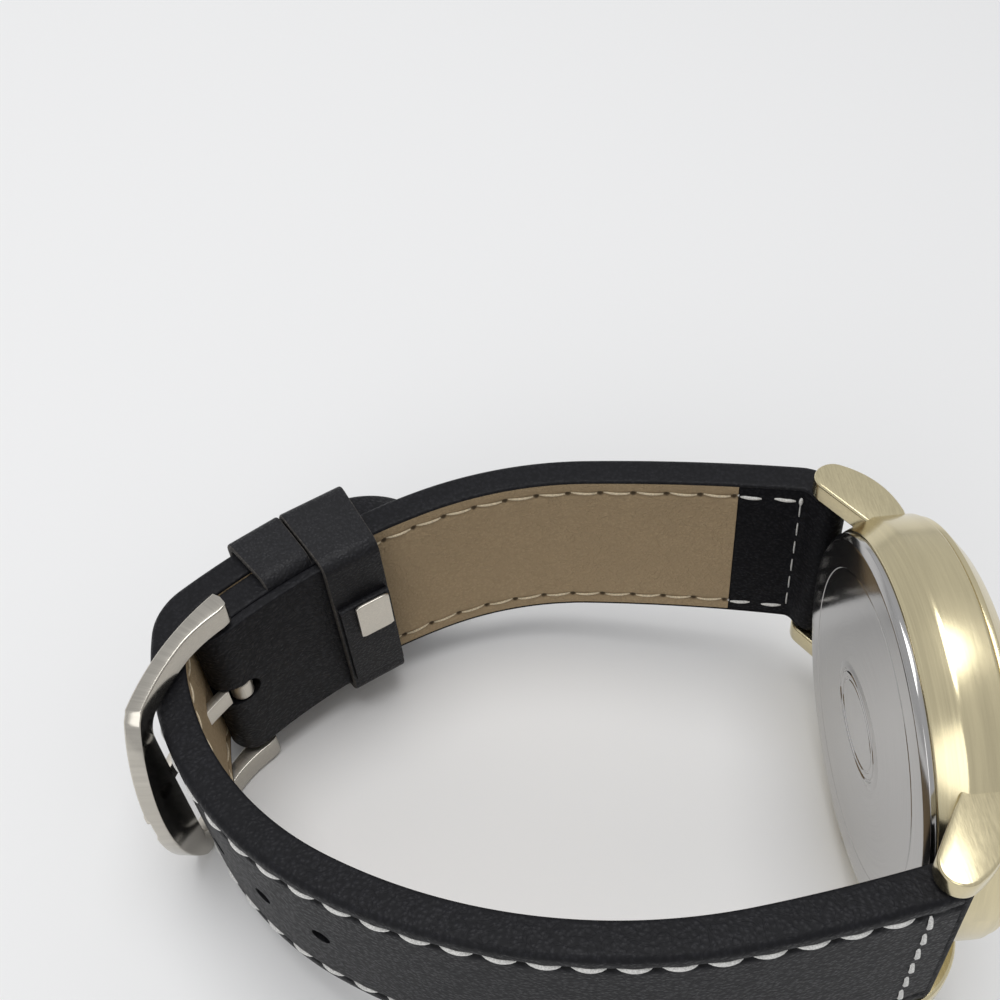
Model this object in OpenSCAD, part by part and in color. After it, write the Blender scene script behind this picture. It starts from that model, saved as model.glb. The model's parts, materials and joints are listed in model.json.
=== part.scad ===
// Analog wristwatch with a padded leather strap, buckled and lying on its side
// Watch frame: X leaves the wrist through the dial, Y points to 12 o'clock, Z points to 9 o'clock
// The head is drawn in its own frame, x to 3 o'clock, y to 12 o'clock and z out of the dial

/* [Case] */
// Radius of the case at its widest
case_r = 20.5; // [20:0.1:22]
// Height of the case band above the case back's outer face
case_top = 7.4; // [7.2:0.1:8.4]
// How far inside the case's side the flat face of the case back ends
back_face_in = 1.9; // [1.7:0.1:3]
// How far inside the case's side the case back's rim lies
back_rim_in = 1.3; // [0.9:0.05:1.6]
// Thickness of the case back plate
back_t = 1.0; // [0.8:0.05:1.2]
// Thickness of the case wall round the movement
case_wall = 3.1; // [2.9:0.05:3.3]
// Height of the bezel above the case band
bezel_h = 2.0; // [1.6:0.1:2.6]
// Thickness of the crystal
crystal_t = 1.7; // [1.2:0.1:2.2]

/* [Lugs] */
// How far each spring bar stands out from the case's side
bar_out = 0.7; // [0.4:0.1:2]
// Height of the spring bars above the case back's outer face
bar_x = 1.0; // [0.6:0.1:1.6]
// Gap between a pair of lugs
lug_gap = 22.3; // [20:0.1:24]
// Thickness of one lug, along the spring bar
lug_t = 2.4; // [1.8:0.1:2.6]
// Radius of the round end of a lug
lug_tip_r = 2.0; // [1.7:0.1:2.3]

/* [Crown] */
// Height of the crown's axis above the case back's outer face
crown_h = 3.9; // [3.7:0.1:4.2]
// Radius of the crown
crown_r = 2.9; // [2.3:0.1:3]
// How far the crown's end stands out from the case's side
crown_out = 2.9; // [2.5:0.1:4]
// How far the crown pulls out to set the hands
crown_pull = 1.0; // [0.6:0.1:1.2]

/* [Hands and dial] */
// Length of the hour hand from its axis
hour_len = 9.5; // [7:0.5:11]
// Length of the minute hand from its axis
minute_len = 13.8; // [12:0.2:15]
// Length of the second hand from its axis
second_len = 14.6; // [12:0.2:15.4]
// Distance from the dial's edge to the outer end of each hour marker
marker_edge = 2.7; // [1.9:0.1:4]
// Length of one hour marker
marker_len = 3.0; // [1.5:0.1:3.4]

/* [Movement] */
// Radius of the movement's main plate
plate_r = 13.0; // [12.8:0.1:13.6]
// Radius of the battery
battery_r = 3.4; // [2.9:0.1:3.5]
// Thickness of the battery
battery_t = 2.1; // [1.6:0.1:2.4]

/* [Strap] */
// Thickness of the finished strap
strap_t = 3.5; // [3:0.1:3.8]
// Width of the strap between the lugs
strap_w = 22.0; // [19.6:0.1:23.6]
// Width of the strap under the keepers and at its tip
tip_w = 20.4; // [19:0.1:20.8]
// Thickness of the lining leather
lining_t = 0.85; // [0.6:0.05:1]
// Thickness of the outer leather over the padding
outer_t = 1.15; // [0.8:0.05:1.3]
// Radius of one buckle hole
hole_r = 1.0; // [0.8:0.05:1.2]
// Distance between neighbouring buckle holes
hole_pitch = 6.8; // [6:0.1:7]
// Length of the leather tab that wraps each lug end
lug_tab_len = 9.0; // [7:0.5:12]

/* [Keepers] */
// Thickness of the keepers' leather
keeper_t = 0.9; // [0.7:0.05:1.1]
// Width of the floating keeper along the strap
floating_w = 6.8; // [5:0.1:7.2]
// Width of the fixed keeper along the strap
fixed_w = 5.6; // [4.5:0.1:5.8]
// How far the floating keeper slides towards the head
keeper_travel = 7.0; // [3:0.5:8]

/* [Buckle] */
// Thickness of the buckle frame
frame_t = 1.43; // [1.2:0.05:1.6]
// Half of the buckle frame's width, along the bar
frame_half = 13.6; // [13:0.1:14.4]
// Width of one arm of the buckle frame, along the bar
arm_w = 2.7; // [2.2:0.1:2.9]
// Radius of the curve of the buckle frame over the wrist
frame_r = 26.5; // [24:0.5:30]
// Width of the rim that the tongue rests on
rim_w = 3.0; // [2.2:0.1:3.6]
// Width of the tongue
tongue_w = 2.2; // [1.6:0.1:2.4]
// Thickness of the tongue
tongue_t = 1.0; // [0.8:0.05:1.2]

/* [Spring bars] */
// Radius of a spring bar's tube in the lugs
tube_r = 0.75; // [0.65:0.05:0.8]
// Radius of a spring bar's pin tips
pin_r = 0.4; // [0.3:0.02:0.42]
// Depth that a pin tip enters its lug or arm
pin_bite = 1.3; // [0.9:0.1:1.5]

/* [Hidden] */
$fn = 96;

// Colours
leather_colour = [0.13, 0.13, 0.15];
lining_colour = [0.56, 0.49, 0.38];
core_colour = [0.35, 0.33, 0.31];
steel_colour = [0.76, 0.75, 0.72];
gold_colour = [0.82, 0.74, 0.50];
brass_colour = [0.78, 0.66, 0.38];
dial_colour = [0.07, 0.07, 0.08];
plastic_colour = [0.20, 0.20, 0.22];
board_colour = [0.12, 0.35, 0.22];
copper_colour = [0.72, 0.42, 0.22];
rubber_colour = [0.10, 0.10, 0.10];
glass_colour = [0.85, 0.92, 0.95, 0.35];

// Clearances
run_gap = 0.06;
seat_gap = 0.02;
slide_gap = 0.12;
joint = 0.3;
nest = 0.01;
cut = 0.5;
reach = 100;

// Points and arcs
// An arc is [centre x, centre y, radius, first angle, last angle]
function polar(c, r, a) = [c.x + r * cos(a), c.y + r * sin(a)];
function heading(h, turns, i) = i == 0 ? h : heading(h, turns, i - 1) + turns[i - 1];
function knot(p, h, radii, turns, i) =
    i == 0 ? p : polar(centre(p, h, radii, turns, i - 1), radii[i - 1], heading(h, turns, i) - 90);
function centre(p, h, radii, turns, i) =
    polar(knot(p, h, radii, turns, i), radii[i], heading(h, turns, i) + 90);
function chain_arc(p, h, radii, turns, i) =
    let (c = centre(p, h, radii, turns, i), a = heading(h, turns, i) - 90)
    [c.x, c.y, radii[i], a, a + turns[i]];
function arc_len(arc) = arc[2] * (arc[4] - arc[3]) * PI / 180;
function degrees_of(length, r) = length / r * 180 / PI;
// Place on a run of arcs at a distance from its start, as [x, y, angle of the outward normal]
function place_at(run, s, i = 0) =
    s <= arc_len(run[i]) || i == len(run) - 1
    ? let (a = run[i][3] + degrees_of(s, run[i][2]), p = polar(run[i], run[i][2], a)) [p.x, p.y, a]
    : place_at(run, s - arc_len(run[i]), i + 1);
// Crossing of two circles, on the right of the line between their centres
function crossing(c1, r1, c2, r2) =
    let (d = c2 - c1, l = norm(d), a = (l * l + r1 * r1 - r2 * r2) / (2 * l), h = sqrt(r1 * r1 - a * a))
    c1 + a * d / l + h * [d.y, -d.x] / l;
function direction(from, to) = atan2(to.y - from.y, to.x - from.x);
function positive(a) = a < 0 ? a + 360 : a;

// Strap layers, as distances from the strap's mid-surface
half_t = strap_t / 2;
lining_top = -half_t + lining_t;
core_top = half_t - outer_t;
core_half = strap_w / 2 - 1.8;
lining_inset = 0.35;

// Run of the short strap from the 12 o'clock bar to the buckle bar
short_start = 114;
lug_run = 1.2;
short_radii = [3, 200, 39, 65];
short_turns = [52, 6.5, 27, 22.4];
bar_y = case_r + bar_out;
short_bar = [bar_x, bar_y];
short_knot = polar(short_bar, lug_run, short_start);
short_run = [for (i = [0:3]) chain_arc(short_knot, short_start, short_radii, short_turns, i)];
wrist_arc = short_run[3];
wrist_c = [wrist_arc[0], wrist_arc[1]];
wrist_r = wrist_arc[2];

// Buckle bar, in the fold at the end of the short strap
bar_drop = 1.7;
fold_r = 1.4;
tab_t = 1.2;
bar_angle = wrist_arc[4];
buckle_bar = polar(wrist_c, wrist_r - bar_drop, bar_angle);
buckle_tube_r = tube_r - 0.1;
fold_tab_end = bar_angle - 14;
fold_in = half_t + tab_t + seat_gap;

// Run of the long strap, drawn mirrored so that both straps turn the same way
long_start = 169.2;
long_radii = [186, 57, 34];
long_turns = [4.6, 39];
long_bar = [bar_x, bar_y];
long_knot = polar(long_bar, lug_run, long_start);
tail_c = [wrist_c.x, -wrist_c.y];
layer_gap = 0.1;
tail_r = wrist_r + strap_t + layer_gap;
closing_r = 5;
bend_c = centre(long_knot, long_start, long_radii, long_turns, 2);
bend_from = heading(long_start, long_turns, 2) - 90;
closing_c = crossing(tail_c, tail_r - closing_r, bend_c, long_radii[2] - closing_r);
bend_to = positive(direction(bend_c, closing_c));
tail_from = positive(direction(tail_c, closing_c));
tail_to = 360 - (fold_tab_end - 10);
long_run = [
    chain_arc(long_knot, long_start, long_radii, long_turns, 0),
    chain_arc(long_knot, long_start, long_radii, long_turns, 1),
    [bend_c.x, bend_c.y, long_radii[2], bend_from, bend_to],
    [closing_c.x, closing_c.y, closing_r, bend_to, tail_from],
    [tail_c.x, tail_c.y, tail_r, tail_from, tail_to]
];
tail_arc = long_run[4];
tip_len = 12;

// Distance along the long strap from its bar to the hole in use
used_hole_s = 82.2;
hole_steps = [-4, -3, -2, -1, 1, 2];

// Keepers round the short strap, the fold tab and the tail
stack_out = half_t + layer_gap + strap_t;
keeper_out = stack_out + slide_gap + keeper_t;
floating_angle = degrees_of(floating_w, wrist_r);
fixed_angle = degrees_of(fixed_w, wrist_r);
keeper_gap_angle = degrees_of(0.2, wrist_r);
fixed_to = bar_angle - 5.6;
fixed_from = fixed_to - fixed_angle;
floating_to = fixed_from - keeper_gap_angle;
floating_from = floating_to - floating_angle;
keeper_half = tip_w / 2 + 0.3;
flap_top = 3.2;
clip_w = 4.2;
clip_h = 5.2;
clip_t = 0.4;

// Buckle frame, curved about an axis along the bar
frame_angle = 138.6;
frame_c = polar(buckle_bar, frame_r, frame_angle + 180);
frame_end = frame_angle - 3;
corner_angle = 167;
bow = 4.6;
bow_r = (frame_half * frame_half + bow * bow) / (2 * bow);
rim_angle = corner_angle + degrees_of(bow, frame_r);
arm_in = frame_half - arm_w;
hub_r = 1.2;

// Tongue, turned outwards about the bar so that it lies on the rim
tongue_lift = frame_t / 2 + tongue_t / 2 + run_gap;
tongue_turn = degrees_of(tongue_lift, norm(polar(frame_c, frame_r, rim_angle - 7) - buckle_bar));
tongue_c = buckle_bar + [
    (frame_c - buckle_bar).x * cos(-tongue_turn) - (frame_c - buckle_bar).y * sin(-tongue_turn),
    (frame_c - buckle_bar).x * sin(-tongue_turn) + (frame_c - buckle_bar).y * cos(-tongue_turn)
];
tongue_from = frame_angle - tongue_turn;
tongue_to = rim_angle - tongue_turn + 1.2;
tongue_hub_r = 1.25;
slot_half = tongue_w / 2 + 0.25;

// Spring bars
pin_travel = pin_bite + 0.15;
flange_t = 0.3;
flange_gap = 0.1;
head_r = tube_r - 0.25;
lug_pin_half = lug_gap / 2;
buckle_pin_half = arm_in;

// Head radii and heights
back_face_r = case_r - back_face_in;
back_rim_r = case_r - back_rim_in;
back_shoulder = 1.0;
back_snap_r = back_rim_r - back_shoulder;
case_low_r = back_rim_r + 0.15;
bore_r = case_r - case_wall;
crown_reach = case_r + crown_out;
case_bevel = 2.4;
bezel_seat = 0.8;
bezel_in = 2.1;
bezel_r = case_r - bezel_in;
bezel_out_r = case_r - 0.3;
bezel_top = case_top + bezel_h;
bezel_wall = 0.85;
gasket_w = 0.45;
crystal_r = bezel_r - bezel_wall - gasket_w;
crystal_low = case_top + 0.6;
dial_low = 6.0;
dial_t = 0.4;
dial_top = dial_low + dial_t;
dial_r = bore_r - 0.1;
marker_in = dial_r - marker_edge - marker_len;
holder_in = plate_r + 0.1;
tube_out_r = 1.2;
stem_r = 0.5;

// Movement heights
board_z = 1.9;
bridge_z = 2.25;
bridge_t = 0.35;
plate_z = 4.6;
plate_t = 0.6;
intermediate_z = 2.85;
seconds_z = 3.3;
third_z = 3.75;
centre_z = 4.15;
motion_z = 5.25;
wheel_t = 0.2;
arbor_r = 0.2;
cannon_r = 0.5;
pipe_r = 0.85;
rotor_r = 0.95;
stator_bore = 1.2;

// Gears, as tooth counts and modules
seconds_pinion = 8;
third_teeth = 60;
third_module = 0.12;
third_pinion = 8;
centre_teeth = 64;
train_c = (seconds_pinion + third_teeth) / 2 * third_module;
centre_module = 2 * train_c / (third_pinion + centre_teeth);
cannon_teeth = 12;
minute_teeth = 36;
minute_module = 0.15;
minute_pinion = 10;
hour_teeth = 40;
motion_c = (cannon_teeth + minute_teeth) / 2 * minute_module;
hour_module = 2 * motion_c / (minute_pinion + hour_teeth);
seconds_teeth = 36;
drive_pinion = 6;
drive_module = 0.19;
drive_c = (seconds_teeth + drive_pinion) / 2 * drive_module;
intermediate_teeth = 30;
rotor_pinion = 6;
rotor_module = 0.15;
rotor_c = (intermediate_teeth + rotor_pinion) / 2 * rotor_module;
third_dir = 110;
drive_dir = 215;
motion_dir = 300;
third_at = polar([0, 0], train_c, third_dir);
drive_at = polar([0, 0], drive_c, drive_dir);
rotor_at = polar(drive_at, rotor_c, drive_dir);
motion_at = polar([0, 0], motion_c, motion_dir);
battery_at = [5.3, -7.2];
battery_z = 2.0;
pillar_at = [[-9.6, 5.4], [6.2, 8.6], [-1.5, -8.4]];
pillar_r = 0.8;
screw_r = 0.35;
lever_x = 8.6;
coil_dir = -36;
coil_len = 5.6;
coil_drop = 3.7;
coil_z = 3.6;
coil_at = polar(polar(rotor_at, coil_len / 2, coil_dir + 180), coil_drop, coil_dir - 90);

// Rest pose on three contact points: the crown's edge, the buckle frame's lower arm and its eye
contact_angle = frame_angle + acos((frame_r + frame_t / 2 - hub_r) / frame_r);
contact_a = concat(polar([crown_h, 0], crown_r - 0.2, contact_angle), [-crown_reach]);
contact_b = concat(polar(frame_c, frame_r + frame_t / 2, contact_angle), [-frame_half]);
contact_c = concat(polar(buckle_bar, hub_r, contact_angle), [-frame_half]);
up_raw = cross(contact_a - contact_b, contact_c - contact_b);
up = up_raw / norm(up_raw) * sign(up_raw.z);
tip_y = -atan2(up.x, up.z);
tip_x = asin(up.y);
rest_lift = -(up * contact_a);
rest_shift = [29.32, -2.379];

module rest_pose() {
    translate([rest_shift.x, rest_shift.y, rest_lift])
        rotate([tip_x, 0, 0])
            rotate([0, tip_y, 0])
                children();
}

module head() {
    rest_pose()
        rotate([0, 90, 0])
            children();
}

// Simple solids
module ring(r_out, r_in, z0, z1) {
    translate([0, 0, z0])
        difference() {
            cylinder(r = r_out, h = z1 - z0);
            translate([0, 0, -cut])
                cylinder(r = r_in, h = z1 - z0 + 2 * cut);
        }
}

module disc(r, z0, z1) {
    translate([0, 0, z0])
        cylinder(r = r, h = z1 - z0);
}

module along_x(r, x0, x1) {
    translate([x0, 0, 0])
        rotate([0, 90, 0])
            cylinder(r = r, h = x1 - x0);
}

// A cylinder along the watch frame's Z at a point of the strap plane
module post(at, r, z0, z1) {
    translate([at.x, at.y, z0])
        cylinder(r = r, h = z1 - z0);
}

// Curved band between two distances from an arc
module band(arc, d0, d1, half_w, before = 0, after = 0, step = 0) {
    start = degrees_of(before, arc[2]);
    stop = degrees_of(after, arc[2]);
    translate([arc[0], arc[1], 0])
        rotate([0, 0, arc[3] - start])
            rotate_extrude(angle = arc[4] - arc[3] + start + stop)
                translate([arc[2] + d0 + step, step - half_w])
                    square([d1 - d0 - 2 * step, 2 * half_w - 2 * step]);
}

// Every second band is thinner by a hair and reaches into both of its neighbours
module inner_band(arc, d0, d1, half_w, before = joint, after = joint) {
    band(arc, d0, d1, half_w, before, after, nest);
}

// Flat band along the straight run that leaves a spring bar
module straight_band(at, h, length, d0, d1, half_w) {
    translate([at.x, at.y, 0])
        rotate([0, 0, h])
            translate([0, -d1, -half_w])
                cube([length, d1 - d0, 2 * half_w]);
}

// Half ring of leather round a spring bar, on the side away from the strap
module wrap(at, h, r_in, r_out, half_w) {
    translate([at.x, at.y, 0])
        rotate([0, 0, h + 90])
            rotate_extrude(angle = 180)
                translate([r_in, -half_w])
                    square([r_out - r_in, 2 * half_w]);
}

// Wedge that tapers the strap from its lug end to the buckle
module strap_outline(inset = 0) {
    w0 = strap_w / 2 - inset;
    w1 = tip_w / 2 - inset;
    x1 = -63;
    rotate([90, 0, 0])
        linear_extrude(height = reach, center = true)
            polygon([[bar_x + 4, w0], [bar_x, w0], [x1, w1], [x1 - 12, w1],
                     [x1 - 12, -w1], [x1, -w1], [bar_x, -w0], [bar_x + 4, -w0]]);
}

module pick_arc(arc, a0, a1, d0, d1, half_w) {
    band([arc[0], arc[1], arc[2], a0, a1], d0, d1, half_w);
}

// Head
module lug_outline() {
    root = case_r - 5.5;
    low = polar([bar_y, bar_x], lug_tip_r, 235);
    high = polar([bar_y, bar_x], lug_tip_r, 32);
    union() {
        translate([bar_y, bar_x])
            circle(r = lug_tip_r);
        polygon([low, [bar_y, bar_x], high, [root + 1, case_top - 0.7],
                 [root - 2, case_top - 0.7], [root - 2, 3.2], [root - 0.8, 3.2]]);
    }
}

module lug(side, end) {
    x0 = side > 0 ? lug_gap / 2 : -lug_gap / 2 - lug_t;
    mirror([0, end > 0 ? 0 : 1, 0])
        translate([x0, 0, 0])
            rotate([90, 0, 90])
                linear_extrude(height = lug_t)
                    lug_outline();
}

module bar_holes(depth) {
    for (end = [-1, 1])
        translate([0, end * bar_y, bar_x])
            along_x(pin_r + run_gap, -lug_gap / 2 - depth, lug_gap / 2 + depth);
}

module case_body() {
    color(gold_colour)
        head()
            difference() {
                union() {
                    rotate_extrude()
                        polygon([[back_snap_r, back_t], [case_low_r, back_t],
                                 [case_r, back_t + case_bevel], [case_r, case_top - 0.5],
                                 [case_r - 0.4, case_top], [bezel_r, case_top],
                                 [bezel_r, case_top - bezel_seat], [bore_r, case_top - bezel_seat],
                                 [bore_r, back_t + 1.4], [back_snap_r, back_t + 1.4]]);
                    for (side = [-1, 1])
                        for (end = [-1, 1])
                            lug(side, end);
                }
                disc(back_snap_r, 0, back_t + 1.4);
                disc(bore_r, back_t, case_top);
                disc(bezel_r, case_top - bezel_seat, case_top + 1);
                ring(back_rim_r + 0.1, back_snap_r - cut, -1, back_t);
                ring(back_snap_r + 0.65, back_snap_r + 0.15, back_t - cut, back_t + 0.4);
                for (end = [-1, 1])
                    translate([0, end * bar_y, bar_x])
                        along_x(half_t + 0.2, -lug_gap / 2 + 0.05, lug_gap / 2 - 0.05);
                translate([0, 0, crown_h])
                    along_x(tube_out_r, bore_r - 1, case_r + 1);
                bar_holes(pin_bite + 0.1);
            }
}

module case_back() {
    color(steel_colour)
        head()
            rotate_extrude()
                polygon([[0, 0], [back_face_r, 0], [back_rim_r, 0.55], [back_rim_r, back_t],
                         [back_snap_r - seat_gap, back_t], [back_snap_r - seat_gap, back_t + 1.2],
                         [back_snap_r - 0.7, back_t + 1.2], [back_snap_r - 0.7, back_t], [0, back_t]]);
}

module case_back_gasket() {
    color(rubber_colour)
        head()
            ring(back_snap_r + 0.62, back_snap_r + 0.18, back_t, back_t + 0.37);
}

module bezel() {
    gasket_r = crystal_r + gasket_w;
    color(gold_colour)
        head()
            rotate_extrude()
                polygon([[gasket_r, case_top - bezel_seat], [bezel_r - seat_gap, case_top - bezel_seat],
                         [bezel_r - seat_gap, case_top], [bezel_out_r, case_top],
                         [bezel_out_r, case_top + 0.5], [bezel_r, bezel_top - 0.1],
                         [bezel_r - 0.3, bezel_top], [gasket_r, bezel_top]]);
}

module crystal_gasket() {
    color(rubber_colour)
        head()
            ring(crystal_r + gasket_w - seat_gap, crystal_r + seat_gap, crystal_low, bezel_top - 0.2);
}

module crystal() {
    top = crystal_low + crystal_t;
    color(glass_colour)
        head()
            rotate_extrude()
                polygon([[0, crystal_low], [crystal_r, crystal_low], [crystal_r, top - 0.3],
                         [crystal_r - 0.3, top], [0, top]]);
}

module dial_ring() {
    color(dial_colour)
        head()
            rotate_extrude()
                polygon([[dial_r - 1, dial_top], [dial_r, dial_top], [dial_r, crystal_low],
                         [dial_r - 0.35, crystal_low]]);
}

module dial() {
    color(dial_colour)
        head()
            difference() {
                union() {
                    disc(dial_r, dial_low, dial_top);
                    for (foot = [40, 220])
                        rotate(foot)
                            translate([plate_r - 1.2, 0, 0])
                                disc(0.35, dial_low - 0.9, dial_low);
                }
                disc(pipe_r + run_gap, dial_low - 1, dial_top + 1);
            }
}

module hour_markers() {
    color(gold_colour)
        head()
            for (hour = [0:11])
                rotate(-30 * hour)
                    for (side = hour == 0 ? [-1, 1] : [0])
                        translate([side * 0.85 - 0.55, marker_in, dial_top])
                            cube([1.1, marker_len, 0.35]);
}

// Pointed hand with a short tail, lying along 12 o'clock
module hand_blade(length, width, tail, z, t) {
    translate([0, 0, z])
        linear_extrude(height = t)
            polygon([[-width / 2, 0], [-width * 0.3, -tail], [width * 0.3, -tail], [width / 2, 0],
                     [width * 0.62, length * 0.45], [0, length], [-width * 0.62, length * 0.45]]);
}

hour_hand_z = dial_top + 0.4;
minute_hand_z = hour_hand_z + 0.4;
second_hand_z = minute_hand_z + 0.4;
hour_angle = -305;
minute_angle = -54;
second_angle = -200;

module hour_hand() {
    color(gold_colour)
        head()
            rotate(hour_angle)
                difference() {
                    union() {
                        hand_blade(hour_len, 1.4, 0.2, hour_hand_z, 0.2);
                        disc(pipe_r + 0.45, hour_hand_z, hour_hand_z + 0.2);
                    }
                    disc(pipe_r + seat_gap, hour_hand_z - 1, hour_hand_z + 1);
                }
}

module minute_hand() {
    color(gold_colour)
        head()
            rotate(minute_angle)
                difference() {
                    union() {
                        hand_blade(minute_len, 1.1, 0.2, minute_hand_z, 0.18);
                        disc(cannon_r + 0.5, minute_hand_z, minute_hand_z + 0.18);
                    }
                    disc(cannon_r + seat_gap, minute_hand_z - 1, minute_hand_z + 1);
                }
}

module second_hand() {
    color(gold_colour)
        head()
            rotate(second_angle)
                difference() {
                    union() {
                        translate([0, 0, second_hand_z])
                            linear_extrude(height = 0.12)
                                polygon([[-0.3, -4.2], [0.3, -4.2], [0.14, 0], [0.08, second_len],
                                         [-0.08, second_len], [-0.14, 0]]);
                        disc(0.7, second_hand_z, second_hand_z + 0.12);
                    }
                    disc(arbor_r + seat_gap, second_hand_z - 1, second_hand_z + 1);
                }
}

// Gear with plain trapezoid teeth; tooth number 0 points along x
module gear(teeth, size, t, hole) {
    r = teeth * size / 2;
    tip = r + 0.75 * size;
    root = r - 1.05 * size;
    step = 360 / teeth;
    linear_extrude(height = t)
        difference() {
            polygon([for (i = [0:teeth - 1]) for (p = [[root, -0.3], [tip, -0.12], [tip, 0.12], [root, 0.3]])
                polar([0, 0], p[0], (i + p[1]) * step)]);
            if (hole > 0)
                circle(r = hole);
        }
}

// Gear at a height, with a tooth or a gap towards a direction
module gear_at(teeth, size, z, t, towards, gap = false, hole = 0) {
    translate([0, 0, z])
        rotate(towards + (gap ? 180 / teeth : 0))
            gear(teeth, size, t, hole);
}

module seconds_wheel() {
    color(brass_colour)
        head() {
            disc(arbor_r, bridge_z, second_hand_z + 0.12);
            gear_at(seconds_teeth, drive_module, seconds_z, wheel_t, drive_dir);
            gear_at(seconds_pinion, third_module, third_z - 0.1, 0.35, third_dir, true);
        }
}

module third_wheel() {
    color(brass_colour)
        head()
            translate([third_at.x, third_at.y, 0]) {
                disc(arbor_r, bridge_z, plate_z + 0.4);
                gear_at(third_teeth, third_module, third_z, wheel_t, third_dir + 180);
                gear_at(third_pinion, centre_module, centre_z - 0.1, 0.35, third_dir + 180, true);
            }
}

module centre_wheel() {
    color(brass_colour)
        head()
            difference() {
                union() {
                    gear_at(centre_teeth, centre_module, centre_z, wheel_t, third_dir);
                    disc(cannon_r, centre_z, minute_hand_z + 0.18);
                    gear_at(cannon_teeth, minute_module, motion_z, 0.25, motion_dir, true);
                }
                disc(arbor_r + run_gap, centre_z - 1, minute_hand_z + 1);
            }
}

module minute_wheel() {
    color(brass_colour)
        head()
            translate([motion_at.x, motion_at.y, 0])
                difference() {
                    union() {
                        gear_at(minute_teeth, minute_module, motion_z + 0.02, wheel_t, motion_dir + 180);
                        gear_at(minute_pinion, hour_module, motion_z + 0.1, 0.6, motion_dir + 180, true);
                    }
                    disc(0.3 + run_gap, motion_z - 1, motion_z + 2);
                }
}

module hour_wheel() {
    color(brass_colour)
        head()
            difference() {
                union() {
                    gear_at(hour_teeth, hour_module, motion_z + 0.38, wheel_t, motion_dir);
                    disc(pipe_r, motion_z + 0.38, hour_hand_z + 0.2);
                }
                disc(cannon_r + run_gap, motion_z, hour_hand_z + 1);
            }
}

module intermediate_wheel() {
    color(brass_colour)
        head()
            translate([drive_at.x, drive_at.y, 0]) {
                disc(arbor_r, bridge_z, plate_z + 0.4);
                gear_at(drive_pinion, drive_module, seconds_z - 0.1, 0.4, drive_dir + 180, true);
                gear_at(intermediate_teeth, rotor_module, intermediate_z, wheel_t, drive_dir);
            }
}

module rotor() {
    color(steel_colour)
        head()
            translate([rotor_at.x, rotor_at.y, 0]) {
                disc(arbor_r, bridge_z, plate_z + 0.4);
                gear_at(rotor_pinion, rotor_module, intermediate_z - 0.1, 0.4, drive_dir + 180, true);
                disc(rotor_r, 3.4, 4.3);
            }
}

arbors = [third_at, drive_at, rotor_at];

module movement_holder() {
    color(plastic_colour)
        head()
            difference() {
                ring(bore_r - 0.1, holder_in, back_t + 1.4, dial_low - seat_gap);
                translate([0, 0, crown_h])
                    along_x(tube_out_r + 0.2, 0, bore_r + 1);
            }
}

module main_plate() {
    color(steel_colour)
        head()
            difference() {
                union() {
                    disc(plate_r, plate_z, plate_z + plate_t);
                    for (p = pillar_at)
                        translate([p.x, p.y, 0])
                            disc(pillar_r, bridge_z + bridge_t, plate_z);
                    translate([motion_at.x, motion_at.y, 0])
                        disc(0.3, plate_z, motion_z + 0.65);
                    translate([lever_x, 0, 0])
                        for (side = [-1, 1])
                            translate([-1.8, side * 1.6 - 0.35, crown_h - 1.1])
                                cube([5.4, 0.7, plate_z - crown_h + 1.1]);
                }
                disc(cannon_r + run_gap, plate_z - 1, plate_z + 2);
                for (a = arbors)
                    translate([a.x, a.y, 0])
                        disc(arbor_r + run_gap, plate_z - 1, plate_z + 0.45);
                for (foot = [40, 220])
                    rotate(foot)
                        translate([plate_r - 1.2, 0, 0])
                            disc(0.35 + run_gap, plate_z - 1, plate_z + 2);
                for (p = pillar_at)
                    translate([p.x, p.y, 0])
                        disc(screw_r, bridge_z, bridge_z + 1.6);
                ring(plate_r + 1, plate_r - 0.5, plate_z + plate_t - 0.2, plate_z + plate_t + cut);
            }
}

module train_bridge() {
    color(steel_colour)
        head()
            difference() {
                intersection() {
                    disc(plate_r - 0.6, bridge_z, bridge_z + bridge_t);
                    translate([0, 0, bridge_z - cut])
                        linear_extrude(height = bridge_t + 2 * cut)
                            polygon([[-14, -4.6], [-8.4, -6.4], [-3, -10], [0.2, -10], [0.6, -3.2],
                                     [4.4, 0.6], [8, 7.4], [7, 10.4], [-14, 10.4]]);
                }
                for (a = concat(arbors, [[0, 0]]))
                    translate([a.x, a.y, 0])
                        disc(arbor_r + run_gap, bridge_z - 1, bridge_z + 1);
                for (p = pillar_at)
                    translate([p.x, p.y, 0])
                        disc(screw_r + run_gap, bridge_z - 1, bridge_z + 1);
            }
}

module bridge_screws() {
    color(steel_colour)
        head()
            for (p = pillar_at)
                translate([p.x, p.y, 0])
                    difference() {
                        union() {
                            disc(0.65, bridge_z - 0.3, bridge_z);
                            disc(screw_r - seat_gap, bridge_z, bridge_z + 1.4);
                        }
                        translate([-1, -0.09, bridge_z - 0.4])
                            cube([2, 0.18, 0.22]);
                    }
}

module battery() {
    color(steel_colour)
        head()
            translate([battery_at.x, battery_at.y, 0])
                union() {
                    disc(battery_r, battery_z + 0.3, battery_z + battery_t);
                    disc(battery_r - 0.6, battery_z, battery_z + 0.3);
                }
}

module battery_clamp() {
    post_at = [0.6, -11.3];
    color(steel_colour)
        head()
            union() {
                translate([0, 0, battery_z - 0.22])
                    linear_extrude(height = 0.2)
                        union() {
                            polygon([post_at + [-0.3, 0.6], post_at + [0.5, -0.5],
                                     battery_at + [0.9, -0.8], battery_at + [-0.7, 0.9]]);
                            translate(battery_at)
                                circle(r = 1.2);
                            translate(post_at)
                                circle(r = 0.7);
                        }
                translate([post_at.x, post_at.y, 0])
                    disc(0.5, battery_z - 0.1, plate_z - seat_gap);
            }
}

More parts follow.
